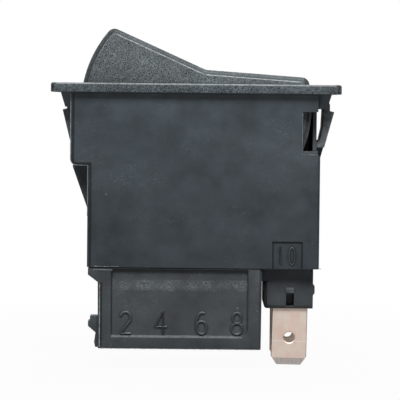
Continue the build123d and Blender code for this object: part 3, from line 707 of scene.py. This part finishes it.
@dataclass(frozen=True)
class ClearMoulding:
    """A see-through piece: a smoked polycarbonate window or a lamp's blown glass."""

    name: str
    colour: str
    ior: float
    roughness: float
    clearness: float = 0.85
    ripple_mm: float = 1.5

    def build(self) -> bpy.types.Material:
        """Make the material.

        Returns:
            A transmissive material with a faint ripple from its tool or from blowing.
        """
        material = new_material(self.name)
        tree = material.node_tree
        shader = tree.nodes["Principled BSDF"]
        shader.inputs["Base Color"].default_value = linear(self.colour)
        shader.inputs["IOR"].default_value = self.ior
        shader.inputs["Roughness"].default_value = self.roughness
        shader.inputs["Transmission Weight"].default_value = self.clearness
        place = add_node(tree, "TexCoord").outputs["Object"]
        ripple = add_node(
            tree, "TexNoise", {"Scale": 1 / (self.ripple_mm * MM), "Detail": 1.0}, {"Vector": place})
        bump = add_node(tree, "Bump", {"Strength": 0.2, "Distance": 0.02 * MM}, {"Height": ripple})
        tree.links.new(bump.outputs["Normal"], shader.inputs["Normal"])
        return material


# Painted shade on the housing: dark bands along the tub's left edge, the ledge of its step and the
# edge below it, the bezel's two ends, the tub's foot over the connector, and round the number's recess.
HOUSING_PAINTED_SHADE = (
    PaintedShadeAndLightBand(TUB_LEFT + 0.28, TUB_LEFT + 0.69, STEP_Z + 0.4, -0.2),
    PaintedShadeAndLightBand(TUB_LEFT + 0.45, STEP_X + 0.62, STEP_Z + 0.1, STEP_Z + 0.5, 0.5),
    PaintedShadeAndLightBand(STEP_X + 0.32, STEP_X + 0.72, SEAM_Z, STEP_Z + 0.4),
    PaintedShadeAndLightBand(-BEZEL_END + 0.15, -BEZEL_END + 0.55, -0.1, 1.4, 0.5),
    PaintedShadeAndLightBand(BEZEL_END - 0.8, BEZEL_END - 0.4, -0.1, 1.4, 0.5),
    PaintedShadeAndLightBand(PANEL_LEFT - 0.42, RECESS_LEFT - 0.2, SEAM_Z - 0.1, SEAM_Z + 0.04, 0.8, 0.05),
    PaintedShadeAndLightBand(RECESS_LEFT - 0.04, RECESS_LEFT + 0.2, SEAM_Z + 0.1, RECESS_TOP, 0.5),
    PaintedShadeAndLightBand(RECESS_LEFT, RECESS_RIGHT, RECESS_TOP - 0.15, RECESS_TOP + 0.1, 0.5),
    PaintedShadeAndLightBand(RECESS_RIGHT - 0.22, RECESS_RIGHT + 0.02, SEAM_Z + 0.1, RECESS_TOP, 0.5),
)

# Painted shade on the base: the panel's top, the connector's left edge and the panel's two sides.
# The last band is painted light, paler inside the tab block's slot, which is dark from shade.
BASE_PAINTED_SHADE_AND_LIGHT = (
    PaintedShadeAndLightBand(PANEL_LEFT - 0.02, PANEL_RIGHT - 0.02, SEAM_Z - 0.45, SEAM_Z),
    PaintedShadeAndLightBand(SHROUD_LEFT + 0.33, SHROUD_LEFT + 0.84, SHROUD_FOOT, -33.4),
    PaintedShadeAndLightBand(PANEL_LEFT - 0.1, PANEL_LEFT + 0.1, -42.4, SEAM_Z - 0.2, 0.8),
    PaintedShadeAndLightBand(PANEL_RIGHT - 0.09, PANEL_RIGHT + 0.09, -41.6, SEAM_Z - 0.2, 0.8),
    PaintedShadeAndLightBand(SLOT_X - SLOT_HALF_WIDTH, SLOT_X + SLOT_HALF_WIDTH, SLOT_FOOT, SLOT_TOP - 0.02, -4.0, 0.02),
)


def make_finishes() -> dict[str, bpy.types.Material]:
    """Make every finish on the switch.

    Returns:
        The materials by the record's material slot.
    """
    finishes = {
        "body_plastic": MouldedNylon("satin black nylon", "3b4247", "b4b9bc", Texture.SATIN,
                                     roughness=0.5, pit_mm=0.145, pit_gain=5.5,
                                     grain_band_mm=(-0.02, 5.0), grain_colour="41484c",
                                     painted_sheen_mm=(-17.0, -5.0), painted_shade_bands=HOUSING_PAINTED_SHADE),
        "rocker_plastic": MouldedNylon("spark-textured nylon", "5c6366", "c4c9cc", Texture.SPARK,
                                       roughness=0.55, pit_mm=0.125, pit_gain=5.0,
                                       painted_shade_bands=(PaintedShadeRing(PIVOT_Z, ROCKER_RADIUS - 0.77,
                                                       ROCKER_RADIUS - 0.02),)),
        "base_plastic": MouldedNylon("moulded connector nylon", "3d4245", "b4b9bb", Texture.SATIN,
                                     roughness=0.45, pit_gain=5.0, grain_colour="4b5154",
                                     painted_shade_bands=BASE_PAINTED_SHADE_AND_LIGHT),
        "plunger_plastic": MouldedNylon("natural acetal", "d9d5ca", "e6e3da", Texture.SATIN,
                                        roughness=0.35),
        "lens_plastic": ClearMoulding("smoked polycarbonate", "6f7275", ior=1.58, roughness=0.18),
        "lamp_glass": ClearMoulding("blown lamp glass", "f2f5f5", ior=1.5, roughness=0.02),
        "tinned_brass": StampedMetal("tinned brass strip", "e7d8cc", "e3c2b4", roughness=0.52,
                                     stain_mm=1.8, stain_amount=0.6, sheared_tone=0.6,
                                     torn_below_mm=-46.9, scratch_at_mm=-43.9),
        "contact_copper": StampedMetal("rolled copper strip", "b8734f", "8a5138", roughness=0.3),
        "contact_silver": StampedMetal("silver alloy rivet", "d9d7cf", "a7a49b", roughness=0.3,
                                       stain_mm=0.6),
        "spring_steel": StampedMetal("drawn spring wire", "8f9194", "6b6c6e", roughness=0.28,
                                     stain_mm=0.8),
    }
    return {slot_name: finish.build() for slot_name, finish in finishes.items()}


FINISHES = make_finishes()
SLOT_OF_NODE = {s["node"]: s["material_slot"] for s in frame["record"]["subparts"]}


# ------------------------------------------------------------------ dressed copies of CAD nodes
def body_of_node(node: str) -> str:
    """Return the name of the body that a CAD node rides on."""
    return frame["nodes"][node]["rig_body"]


def copy_node(node: str, name: str) -> Piece:
    """Copy a CAD node as a loose piece of its own, with its place in its mesh.

    Args:
        node: The CAD node's name.
        name: The new piece's name.

    Returns:
        The copy, without the marks that tie the node to its body.
    """
    source = frame["nodes"][node]
    piece = source.copy()
    piece.data = source.data.copy()
    piece.name = name
    piece.parent = None
    for key in [k for k in piece.keys() if k.startswith("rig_")]:
        del piece[key]
    bpy.context.scene.collection.objects.link(piece)
    return piece


def clear_flat_faces(piece: Piece, flat_deg: float = 0.6) -> None:
    """Merge a copy's loose triangles and dissolve the edges inside its flat faces."""
    with merged_in_edit_mode(piece):
        bpy.ops.mesh.dissolve_limited(angle_limit=math.radians(flat_deg))


def stand_for(piece: Piece, node: str) -> None:
    """Let a finished copy stand for its CAD node, with the node's finish, body and slot.

    Args:
        piece: The finished copy.
        node: The CAD node that it replaces.
    """
    dress(piece, FINISHES[SLOT_OF_NODE[node]])
    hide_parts(node)
    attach(piece, body_of_node(node))


@dataclass
class CoilSpring:
    """A plunger's coil spring in round wire."""

    side: str
    smooth_deg: float = 60.0

    def build(self) -> Piece:
        """Copy the CAD node, round its wire and give it a mesh of its own.

        Returns:
            The spring, riding on the rocker.
        """
        node = f"plunger_spring_{self.side}"
        piece = copy_node(node, f"coil_spring_{self.side}")
        with merged_in_edit_mode(piece):
            bpy.ops.mesh.tris_convert_to_quads()
        rounded = piece.modifiers.new("Round wire", "SUBSURF")
        rounded.levels = rounded.render_levels = 1
        apply_modifiers(piece)
        smooth(piece, self.smooth_deg)
        stand_for(piece, node)
        self.tie_length(piece)
        return piece

    def tie_length(self, piece: Piece) -> None:
        """Give the spring a mesh of its own; its length is not tied to the plunger's travel.

        Args:
            piece: The spring.
        """
        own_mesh(piece)


@dataclass
class SoftenedMoulding:
    """A moulded piece whose sharp corners are broken, as a real tool leaves them.

    Its broken corners are a little paler everywhere from wear, and carry a painted highlight
    where they face up and where they face left. The latches' sides and the lugs at the bezel's
    ends are painted paler too, as painted light on faces that lie in shade.
    """

    node: str
    name: str
    edge_mm: float = 0.12
    sharp_deg: float = 40.0
    segments: int = 2
    wear_and_highlight_width_mm: float = 0.3
    wear_and_highlight_lip_mm: float = 0.4
    rubbed_least: float = 0.08
    painted_highlight_up: float = 1.25
    painted_highlight_left: float = 0.4
    latch_mm: float = 22.0
    latch_painted_light: float = 0.3
    lug_inner_mm: float = 5.1
    lug_painted_light: float = 0.5
    grained_slope_mm: Flat = (0.0, 0.0)

    def build(self) -> Piece:
        """Copy the CAD node, clear its flat faces of spare edges and break its corners.

        Returns:
            The finished piece, which rides on the node's body and stands for the node.
        """
        piece = copy_node(self.node, self.name)
        clear_flat_faces(piece)
        soften = piece.modifiers.new("Broken corners", "BEVEL")
        soften.width = self.edge_mm * MM
        soften.segments = self.segments
        soften.limit_method = "ANGLE"
        soften.angle_limit = math.radians(self.sharp_deg)
        soften.use_clamp_overlap = True
        dress(piece, FINISHES[SLOT_OF_NODE[self.node]])
        piece.data.materials.append(None)
        soften.material = 1
        apply_modifiers(piece)
        self.mark_wear_and_highlight(piece)
        smooth(piece, self.sharp_deg - 5)
        stand_for(piece, self.node)
        return piece

    def mark_wear_and_highlight(self, piece: Piece) -> None:
        """Write each face's wear with its painted highlight and painted light, and how grained it is, as
        attributes that the finish reads.

        Args:
            piece: The piece, whose broken corners still carry the second material.
        """
        mesh = piece.data
        broken = {key for face in mesh.polygons if face.material_index for key in face.edge_keys}
        low, high = (height * MM for height in self.grained_slope_mm)
        wear_and_highlight, grained = [], []
        for face in mesh.polygons:
            level = 0.0
            if face.material_index or self.is_narrow(mesh, face, broken):
                # Beyond the wear on every broken corner, up- and left-facing faces take a painted
                # highlight.
                level = min(1.0, self.rubbed_least + self.painted_highlight_up * max(face.normal.z, 0.0) ** 2
                            + self.painted_highlight_left * max(-face.normal.x, 0.0))
            wear_and_highlight.append(max(level, self.end_level(face)))
            sloping = low < face.center.z < high and 0.05 < abs(face.normal.z) < 0.6
            grained.append(1.0 if sloping else 0.0)
            face.material_index = 0
        mark_faces(piece, WEAR_AND_HIGHLIGHT, wear_and_highlight)
        mark_faces(piece, GRAIN, grained)
        mesh.materials.pop(index=1)

    def is_narrow(self, mesh: bpy.types.Mesh, face: bpy.types.MeshPolygon,
                  broken: set[tuple[int, int]]) -> bool:
        """Say whether a face is a long, narrow chamfer between two broken corners.

        A round corner's facets border no broken corner along their length, so they are none.

        Args:
            mesh: The piece's mesh.
            face: The face to look at.
            broken: The edges that border the broken corners.

        Returns:
            True where the face is to take the wear and painted highlight of the corners beside it.
        """
        lengths = {key: (mesh.vertices[key[0]].co - mesh.vertices[key[1]].co).length
                   for key in face.edge_keys}
        around = sum(lengths.values())
        beside = sum(length for key, length in lengths.items() if key in broken)
        widest = self.wear_and_highlight_lip_mm if face.normal.z > 0.5 else self.wear_and_highlight_width_mm
        width = 2 * face.area / around
        return width < min(widest * MM, around / 12) and beside > 0.4 * around

    def end_level(self, face: bpy.types.MeshPolygon) -> float:
        """Look whether a face is a side of a latch or a lug, which take painted light as they lie in shade
        under the bezel.

        Args:
            face: The face to look at.

        Returns:
            How much painted light it takes, and 0 elsewhere.
        """
        beyond = abs(face.center.x) > self.latch_mm * MM and face.center.z < -0.05 * MM
        if not (beyond and abs(face.normal.y) > 0.9):
            return 0.0
        return self.lug_painted_light if abs(face.center.y) > self.lug_inner_mm * MM else self.latch_painted_light


@dataclass
class PunchedBlade:
    """A wide push-on blade, with the shallow dished lip that its punch leaves round the hole."""

    node: str
    lip_mm: float = 0.16
    lip_slope_deg: float = 22.0
    hole_up_mm: float = 4.85
    reach_mm: float = 1.3
    smooth_deg: float = 20.0

    def build(self) -> Piece:
        """Copy the CAD node and dish the two rims of its hole.

        Returns:
            The finished blade, which rides on the node's body and stands for the node.
        """
        piece = copy_node(self.node, f"{self.node}_blade")
        clear_flat_faces(piece)
        rims = self.find_rims(piece.data)
        places = [piece.data.vertices[edge.vertices[0]].co.xz for edge in rims]
        middle = Vector([(min(p[axis] for p in places) + max(p[axis] for p in places)) / 2
                         for axis in (0, 1)])
        radius = max((place - middle).length for place in places)
        self.chamfer_rims(piece, rims)
        self.flatten_lip(piece, middle, radius)
        smooth(piece, self.smooth_deg)
        stand_for(piece, self.node)
        return piece

    def find_rims(self, mesh: bpy.types.Mesh) -> list[bpy.types.MeshEdge]:
        """Find the edges of the hole's two rims, from where the hole has to be.

        Args:
            mesh: The blade's mesh, cleared of spare edges.

        Returns:
            The edges that border both a flat face and the hole's bore.
        """
        hole_z = min(v.co.z for v in mesh.vertices) + self.hole_up_mm * MM
        sides = [v.co.x for v in mesh.vertices if v.co.z < hole_z]
        guess = Vector(((min(sides) + max(sides)) / 2, hole_z))
        flat = {key for face in mesh.polygons if abs(face.normal.y) > 0.9 for key in face.edge_keys}
        bore = {key for face in mesh.polygons if abs(face.normal.y) < 0.5 for key in face.edge_keys}
        return [edge for edge in mesh.edges if edge.key in flat and edge.key in bore
                and (mesh.vertices[edge.vertices[0]].co.xz - guess).length < self.reach_mm * MM]

    def chamfer_rims(self, piece: Piece, rims: Sequence[bpy.types.MeshEdge]) -> None:
        """Cut a chamfer of the lip's width along the hole's rims.

        Args:
            piece: The blade's copy.
            rims: The edges to cut.
        """
        weights = [0.0] * len(piece.data.edges)
        for edge in rims:
            weights[edge.index] = 1.0
        marks = piece.data.attributes.new("bevel_weight_edge", "FLOAT", "EDGE")
        marks.data.foreach_set("value", weights)
        dished = piece.modifiers.new("Dished lip", "BEVEL")
        dished.width = self.lip_mm * MM
        dished.segments = 1
        dished.limit_method = "WEIGHT"
        dished.use_clamp_overlap = False
        apply_modifiers(piece)

    def flatten_lip(self, piece: Piece, middle: Vector, radius: float) -> None:
        """Bring each lip's inner edge towards its face, which makes the chamfer a shallow dish.

        Args:
            piece: The blade with its two chamfers.
            middle: The hole's middle, across and up.
            radius: The hole's radius.
        """
        lip = self.lip_mm * MM
        rise = lip * (1 - math.tan(math.radians(self.lip_slope_deg)))
        inner = [v.co for v in piece.data.vertices if (v.co.xz - middle).length < radius + 0.3 * lip]
        core = (min(co.y for co in inner) + max(co.y for co in inner)) / 2
        for co in inner:
            co.y += math.copysign(rise, co.y - core)
        piece.data.update()


# ------------------------------------------------------------------ beads: moulded numerals and painted highlight lines
def arc(centre: Flat, radii: Flat, start: float, end: float) -> list[Flat]:
    """Return points along an ellipse's arc.

    Args:
        centre: The ellipse's centre.
        radii: Its half width and half height.
        start: The first angle in degrees, from the right, turning left over the top.
        end: The last angle in degrees.

    Returns:
        The points, about one for each 15 degrees.
    """
    steps = max(2, round(abs(end - start) / 15))
    angles = [math.radians(start + (end - start) * i / steps) for i in range(steps + 1)]
    return [(centre[0] + radii[0] * math.cos(a), centre[1] + radii[1] * math.sin(a)) for a in angles]


def even_steps(start: Point, end: Point, step: float) -> list[Point]:
    """Return points from start to end, both included, about a step apart."""
    count = max(1, round(math.dist(start, end) / step))
    return [tuple(a + (b - a) * i / count for a, b in zip(start, end)) for i in range(count + 1)]


def sweep_bead(name: str, runs: Sequence[Sequence[Point]], radius: float,
               unevenness: float = 0.0) -> Piece:
    """Sweep a round bead along runs of points and make it a closed mesh.

    Args:
        name: The new piece's name.
        runs: The runs, each closed where its last point is its first.
        radius: The bead's radius.
        unevenness: How far the radius wanders, as a share of it.

    Returns:
        The bead, with its place in its mesh.
    """
    curve = bpy.data.curves.new(name, "CURVE")
    curve.dimensions = "3D"
    curve.bevel_depth = radius
    curve.bevel_resolution = 2
    curve.use_fill_caps = True
    for run in runs:
        closed = math.dist(run[0], run[-1]) < 1e-7
        points = run[:-1] if closed else run
        spline = curve.splines.new("POLY")
        spline.points.add(len(points) - 1)
        for number, (knot, place) in enumerate(zip(spline.points, points)):
            knot.co = (*place, 1.0)
            knot.radius = 1.0 + unevenness * math.sin(2.4 * number) * math.cos(0.9 * number)
        spline.use_cyclic_u = closed
    piece = bpy.data.objects.new(name, curve)
    bpy.context.scene.collection.objects.link(piece)
    select_only(piece)
    bpy.ops.object.convert(target="MESH")
    piece = bpy.context.view_layer.objects.active
    piece.name = name
    with merged_in_edit_mode(piece, reach_mm=0.001):
        bpy.ops.mesh.normals_make_consistent(inside=False)
    smooth(piece, angle_deg=50)
    return piece


def finish_bead(piece: Piece, wear_and_highlight: Sequence[float], body: str, slot_name: str) -> None:
    """Give a bead its wear and painted highlight, its finish, its body and its slot.

    Args:
        piece: The bead.
        wear_and_highlight: How worn and how highlighted each of its faces is.
        body: The body that it rides on.
        slot_name: The material slot of the skin that it belongs to.
    """
    mark_faces(piece, WEAR_AND_HIGHLIGHT, wear_and_highlight)
    dress(piece, FINISHES[slot_name])
    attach(piece, body)


@dataclass
class ReliefNumeral:
    """A plain numeral that stands off the wall as a thin rounded ridge, as cut into the tool."""

    digit: str
    name: str
    centre: Point
    width: float
    height: float
    stroke: float
    body: str
    slot_name: str
    proud: float = 0.06 * MM
    painted_highlight_up: float = 0.75

    def strokes(self) -> list[list[Flat]]:
        """Draw the numeral's centre lines.

        Returns:
            The strokes in a box from -1 to 1, across and up.
        """
        lines: dict[str, list[list[Flat]]] = {
            "0": [arc((0, 0), (1, 1), 90, 450)],
            "1": [[(-0.7, 0.55), (0.1, 1.0), (0.1, -1.0)]],
            "2": [arc((0, 0.45), (0.95, 0.55), 165, -40) + [(-0.95, -1.0), (1.0, -1.0)]],
            "4": [[(0.35, -1.0), (0.35, 1.0), (-1.1, -0.35), (1.1, -0.35)]],
            "6": [arc((0.15, 0.0), (1.1, 1.0), 70, 180) + arc((0, -0.4), (0.95, 0.6), 180, 540)],
            "8": [arc((0, 0.5), (0.8, 0.5), -90, 270), arc((0, -0.48), (1.0, 0.52), 90, 450)],
        }
        return lines[self.digit]

    def build(self) -> Piece:
        """Sweep a round bead along the strokes and seat a little less than half of it in the wall.

        Returns:
            The finished numeral, riding on its body.
        """
        runs = [[(self.centre[0] + across * self.width / 2, self.centre[1] - self.proud,
                  self.centre[2] + up * self.height / 2) for across, up in line]
                for line in self.strokes()]
        piece = sweep_bead(self.name, runs, self.stroke / 2)
        # The numeral's up-facing faces take a painted highlight.
        wear_and_highlight = [self.painted_highlight_up * max(face.normal.z, 0.0) ** 2 for face in piece.data.polygons]
        finish_bead(piece, wear_and_highlight, self.body, self.slot_name)
        return piece


@dataclass
class NumeralRow:
    """The column numbers along the foot of the connector, and the number over the near tab.

    A column's number stands a little off its pin's middle, as the toolmaker cut it.
    """

    columns: tuple[tuple[str, float], ...] = (("2", 0.27 * MM), ("4", 0.04 * MM),
                                              ("6", 0.62 * MM), ("8", 0.36 * MM))
    foot_to_middle: float = 4.55 * MM
    width: float = 1.9 * MM
    height: float = 3.8 * MM
    stroke: float = 0.48 * MM
    tab_digits: tuple[tuple[str, float, float], ...] = (("1", 15.05 * MM, 0.6 * MM),
                                                        ("0", 17.08 * MM, 1.05 * MM))
    tab_z: float = -28.45 * MM
    tab_height: float = 3.0 * MM
    tab_stroke: float = 0.34 * MM
    recess: float = 0.4 * MM
    tub_half_width: float = 10.9 * MM

    def build(self) -> list[Piece]:
        """Model every numeral.

        Returns:
            The numerals from left to right.
        """
        pieces = []
        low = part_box("base")[0]
        for digit, shift in self.columns:
            centre = (pin_middle(f"terminal_{digit}") + shift, low[1] + self.recess,
                      low[2] + self.foot_to_middle)
            pieces.append(ReliefNumeral(digit, f"numeral_{digit}", centre, self.width, self.height,
                                        self.stroke, "switch_body", "base_plastic").build())
        for digit, x, width in self.tab_digits:
            centre = (x, self.recess - self.tub_half_width, self.tab_z)
            pieces.append(ReliefNumeral(digit, f"numeral_tab_{digit}", centre, width, self.tab_height,
                                        self.tab_stroke, "switch_body", "body_plastic").build())
        return pieces


def pin_middle(node: str) -> float:
    """Measure where a terminal's pin stands, from the vertices at its tip.

    Args:
        node: The terminal's CAD node.

    Returns:
        The middle of the tip along X.
    """
    mesh = frame["nodes"][node].data
    low = min(v.co.z for v in mesh.vertices)
    tips = [v.co.x for v in mesh.vertices if v.co.z < low + 0.05 * MM]
    return (min(tips) + max(tips)) / 2


@dataclass
class PaintedHighlightBeads:
    """Thin pale beads along the tub's and the connector's edges, painted highlights where those
    edges catch the light, with a real burr at the tub's lower right corner.

    Each line lies on the outer side of the edge's small chamfer, on the near and the far face.
    """

    radius: float = 0.075 * MM
    tub_y: float = 10.45 * MM
    near_face: float = -10.9 * MM
    gusset_foot: float = -21.75 * MM
    window_left: float = 18.66 * MM
    window_top: float = -3.1 * MM
    window_foot: float = -10.58 * MM
    seam_ends: Flat = (1.0 * MM, 5.4 * MM)
    seam_up: float = 0.18 * MM
    shroud_y: float = 10.7 * MM
    corner_ends: Flat = (0.3 * MM, 11.6 * MM)
    connector_left: float = 2.1 * MM
    connector_right: float = 11.3 * MM
    post_ends: Flat = (-1.2 * MM, 2.2 * MM)

    def tub_run(self, y: float) -> list[Point]:
        """Run down the tub's left edge, round the step and down to the gusset's foot.

        Args:
            y: Where the run lies across the tub.

        Returns:
            The run's points.
        """
        bend = arc((TUB_LEFT + STEP_RADIUS, STEP_Z + STEP_RADIUS), (STEP_RADIUS, STEP_RADIUS), 180, 270)
        return ([(TUB_LEFT * MM, y, -0.2 * MM)] + [(x * MM, y, z * MM) for x, z in bend]
                + [(STEP_X * MM, y, STEP_Z * MM), (STEP_X * MM, y, self.gusset_foot)])

    def window_run(self) -> list[Point]:
        """Run down the window's left border and along its foot, on the near face.

        Returns:
            The run's points.
        """
        corner = (self.window_left, self.near_face, self.window_foot)
        tub_edge = ((-TUB_LEFT - 0.5) * MM, self.near_face, self.window_foot)
        return ([(self.window_left, self.near_face, self.window_top)]
                + even_steps(corner, tub_edge, 0.4 * MM))

    def seam_runs(self) -> list[list[Point]]:
        """Run along a stretch of the tub's lower edge, with a burr at its lower right corner.

        Returns:
            The two runs.
        """
        left, seam_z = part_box("base")[0][0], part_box("housing")[0][2]
        start, end = ((left + x, self.near_face, seam_z + self.seam_up) for x in self.seam_ends)
        burr_y = self.near_face + 0.3 * MM
        burr = [((-TUB_LEFT - 0.4) * MM, burr_y, seam_z + 0.12 * MM),
                ((-TUB_LEFT + 0.25) * MM, burr_y, seam_z + 0.08 * MM)]
        return [even_steps(start, end, 0.35 * MM), burr]

    def corner_runs(self) -> list[list[Point]]:
        """Run up the connector's left corners.

        Returns:
            The near and the far run.
        """
        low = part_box("base")[0]
        edge = low[0] + self.connector_left
        foot, top = (low[2] + up for up in self.corner_ends)
        return [even_steps((edge, y, foot), (edge, y, top), 0.6 * MM)
                for y in (-self.shroud_y, self.shroud_y)]

    def connector_runs(self) -> list[list[Point]]:
        """Run along the connector's foot on both sides, and over its left post.

        Returns:
            The three runs.
        """
        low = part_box("base")[0]
        edge = low[0] + self.connector_left
        foot_y, foot_z = self.shroud_y + 0.12 * MM, low[2] + 0.04 * MM
        feet = [even_steps((edge + 0.1 * MM, side * foot_y, foot_z),
                           (self.connector_right, side * foot_y, foot_z), 0.35 * MM) for side in (-1, 1)]
        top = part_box("housing")[0][2] - 0.45 * MM
        return feet + [[(edge + x, -foot_y, top) for x in self.post_ends]]

    def build(self) -> list[Piece]:
        """Sweep every line.

        Returns:
            The lines as four pieces, two on the housing and two on the connector.
        """
        tub_runs = [self.tub_run(side * self.tub_y) for side in (-1, 1)]
        seam_runs = [self.window_run()] + self.seam_runs()
        lines = (
            ("tub_highlight_beads", tub_runs, 1.0, 0.35, "body_plastic", 0.8),
            ("tub_seam_highlight_and_burr", seam_runs, 0.6, 0.6, "body_plastic", 0.6),
            ("connector_highlight_beads", self.connector_runs(), 0.7, 0.6, "base_plastic", 0.7),
            ("connector_corner_highlight", self.corner_runs(), 1.0, 0.3, "base_plastic", 0.9),
        )
        pieces = []
        for name, runs, thickness, unevenness, slot_name, wear_and_highlight in lines:
            piece = sweep_bead(name, runs, thickness * self.radius, unevenness)
            finish_bead(piece, [wear_and_highlight] * len(piece.data.polygons), "switch_body", slot_name)
            pieces.append(piece)
        return pieces


# ------------------------------------------------------------------ stage
@dataclass(frozen=True)
class SoftLamp:
    """A broad lamp that hangs in front of the piece or behind it and faces its middle."""

    name: str
    azimuth_deg: float
    elevation_deg: float
    size: Flat
    power: float
    away: float = 0.7
    aim_z: float = -20 * MM

    def build(self) -> None:
        """Hang the lamp and turn it to the piece."""
        data = bpy.data.lights.new(self.name, "AREA")
        data.shape = "RECTANGLE"
        data.size, data.size_y = self.size
        data.energy = self.power
        lamp = bpy.data.objects.new(self.name, data)
        bpy.context.scene.collection.objects.link(lamp)
        turn, rise = math.radians(self.azimuth_deg), math.radians(self.elevation_deg)
        outward = Vector((-math.sin(turn) * math.cos(rise), -math.cos(turn) * math.cos(rise),
                          math.sin(rise)))
        place = Vector((0, 0, self.aim_z)) + self.away * outward
        lamp.matrix_world = (Matrix.Translation(place)
                             @ (-outward).to_track_quat("-Z", "Y").to_matrix().to_4x4())


@dataclass(frozen=True)
class Studio:
    """A pale floor, soft lamps and a camera in front of the long side, level with the bezel."""

    distance: float = 412.7 * MM
    across: float = 0.839 * MM
    height: float = -1.4 * MM
    pitch_deg: float = -2.465
    roll_deg: float = 0.596
    lens_mm: float = 206.5
    floor_gap: float = 0.6 * MM
    floor_gloss: float = 0.35
    paper: str = "a8a8a8"
    shadow_tone: float = 0.95
    shadow_ends: Flat = (0.03, 0.16)
    fill: float = 0.03
    side_gloss: float = 0.05
    front_gloss: float = 0.3
    lamps: tuple[SoftLamp, ...] = (SoftLamp("key", 0.0, 41.0, (0.45, 0.27), 4.9),
                                   SoftLamp("back", 180.0, 60.0, (0.5, 0.3), 1.8))

    def build_camera(self) -> None:
        """Place the camera level with the bezel, looking slightly down and turned by a small roll."""
        data = bpy.data.cameras.new("Camera")
        data.lens = self.lens_mm
        data.sensor_width = 36.0
        data.clip_start = 0.01
        data.clip_end = 20.0
        camera = bpy.data.objects.new("Camera", data)
        bpy.context.scene.collection.objects.link(camera)
        look = (Matrix.Rotation(math.radians(90 + self.pitch_deg), 4, "X")
                @ Matrix.Rotation(math.radians(self.roll_deg), 4, "Z"))
        camera.matrix_world = Matrix.Translation((self.across, -self.distance, self.height)) @ look
        bpy.context.scene.camera = camera

    def straight_rays(self, tree: Tree, ray: Node) -> Source:
        """Find the rays by which the camera sees, straight or through clear pieces.

        Args:
            tree: The node tree of the floor or the room.
            ray: The light path node.

        Returns:
            A factor of 1 on those rays.
        """
        return add_node(
            tree, "Math", {"operation": "MAXIMUM"},
            {0: ray.outputs["Is Camera Ray"], 1: ray.outputs["Is Transmission Ray"]})

    def build_floor(self) -> None:
        """Lay the floor just under the lowest tab, white to the eye and keeping a soft shadow."""
        bpy.ops.mesh.primitive_plane_add(size=8.0, location=(0, 0, CAD_BOX[0][2] - self.floor_gap))
        floor = bpy.context.active_object
        floor.name = "floor"
        bpy.ops.object.transform_apply(location=True, rotation=True, scale=True)
        material = new_material("pale paper")
        tree = material.node_tree
        tree.nodes.clear()
        paper = add_node(tree, "BsdfDiffuse", {"Color": linear(self.paper)})
        glow = add_node(tree, "Emission", {"Color": (1, 1, 1, 1), "Strength": 1.0})
        ray = add_node(tree, "LightPath")
        gloss = add_node(
            tree, "Math", {"operation": "MULTIPLY", 1: self.floor_gloss},
            {0: ray.outputs["Is Glossy Ray"]})
        seen = add_node(
            tree, "Math", {"operation": "MAXIMUM"}, {0: self.straight_rays(tree, ray), 1: gloss})
        place = add_node(tree, "TexCoord").outputs["Object"]
        reach = add_node(tree, "VectorMath", {"operation": "LENGTH"}, {0: place})
        near, far = self.shadow_ends
        fade = add_node(
            tree, "MapRange", {"From Min": near, "From Max": far, "To Min": self.shadow_tone},
            {"Value": reach.outputs["Value"]})
        share = add_node(tree, "Math", {"operation": "MULTIPLY"}, {0: seen, 1: fade})
        mixed = add_node(tree, "MixShader", {}, {0: share, 1: paper, 2: glow})
        add_node(tree, "OutputMaterial", {}, {"Surface": mixed})
        dress(floor, material)

    def build_world(self) -> None:
        """Light the room: white behind to the eye and to gloss, calmer in front, dim at the sides."""
        world = bpy.data.worlds.new("soft room")
        bpy.context.scene.world = world
        world.use_nodes = True
        tree = world.node_tree
        tree.nodes.clear()
        ray = add_node(tree, "LightPath")
        heading = add_node(
            tree, "SeparateXYZ", {}, {"Vector": add_node(tree, "TexCoord").outputs["Generated"]})
        behind, ahead = (
            add_node(tree, "MapRange",
                     {"From Min": near, "From Max": far, "To Min": least, "To Max": most},
                     {"Value": heading.outputs["Y"]})
            for near, far, least, most in ((0.1, 0.55, self.side_gloss, 1.0),
                                           (-0.35, -0.9, 0.0, self.front_gloss)))
        gloss = add_node(tree, "Math", {"operation": "ADD"}, {0: behind, 1: ahead})
        soft = add_node(
            tree, "Mix", {"data_type": "FLOAT", 2: self.fill},
            {0: ray.outputs["Is Glossy Ray"], 3: gloss})
        strength = add_node(
            tree, "Mix", {"data_type": "FLOAT", 3: 1.0}, {0: self.straight_rays(tree, ray), 2: soft})
        sky = add_node(tree, "Background", {"Color": (1, 1, 1, 1)}, {"Strength": strength})
        add_node(tree, "OutputWorld", {}, {"Surface": sky})

    def build(self) -> None:
        """Build the whole stage."""
        self.build_camera()
        self.build_world()
        for lamp in self.lamps:
            lamp.build()
        self.build_floor()
        bpy.context.scene.view_settings.view_transform = "Standard"


def main() -> None:
    """Build the stage, dress the CAD nodes and add the modelled pieces."""
    logging.basicConfig(level=logging.INFO, format="%(message)s")
    Studio().build()
    for node, piece in frame["nodes"].items():
        dress(piece, FINISHES[SLOT_OF_NODE[node]])
    mouldings = (SoftenedMoulding("housing", "housing_moulding"),
                 SoftenedMoulding("base", "base_moulding", wear_and_highlight_lip_mm=0.58, painted_highlight_up=0.4,
                                  grained_slope_mm=(-35.2, -32.7)),
                 SoftenedMoulding("rocker", "rocker_moulding", rubbed_least=0.0, painted_highlight_up=2.1,
                                  painted_highlight_left=0.0))
    copies = (*mouldings, CoilSpring("near"), CoilSpring("far"), PunchedBlade("terminal_10"),
              PunchedBlade("terminal_9"))
    made = [copy.build() for copy in copies] + NumeralRow().build() + PaintedHighlightBeads().build()
    for piece in made:
        LOG.info("%s: %d faces", piece.name, len(piece.data.polygons))


if __name__ == "__main__":
    main()
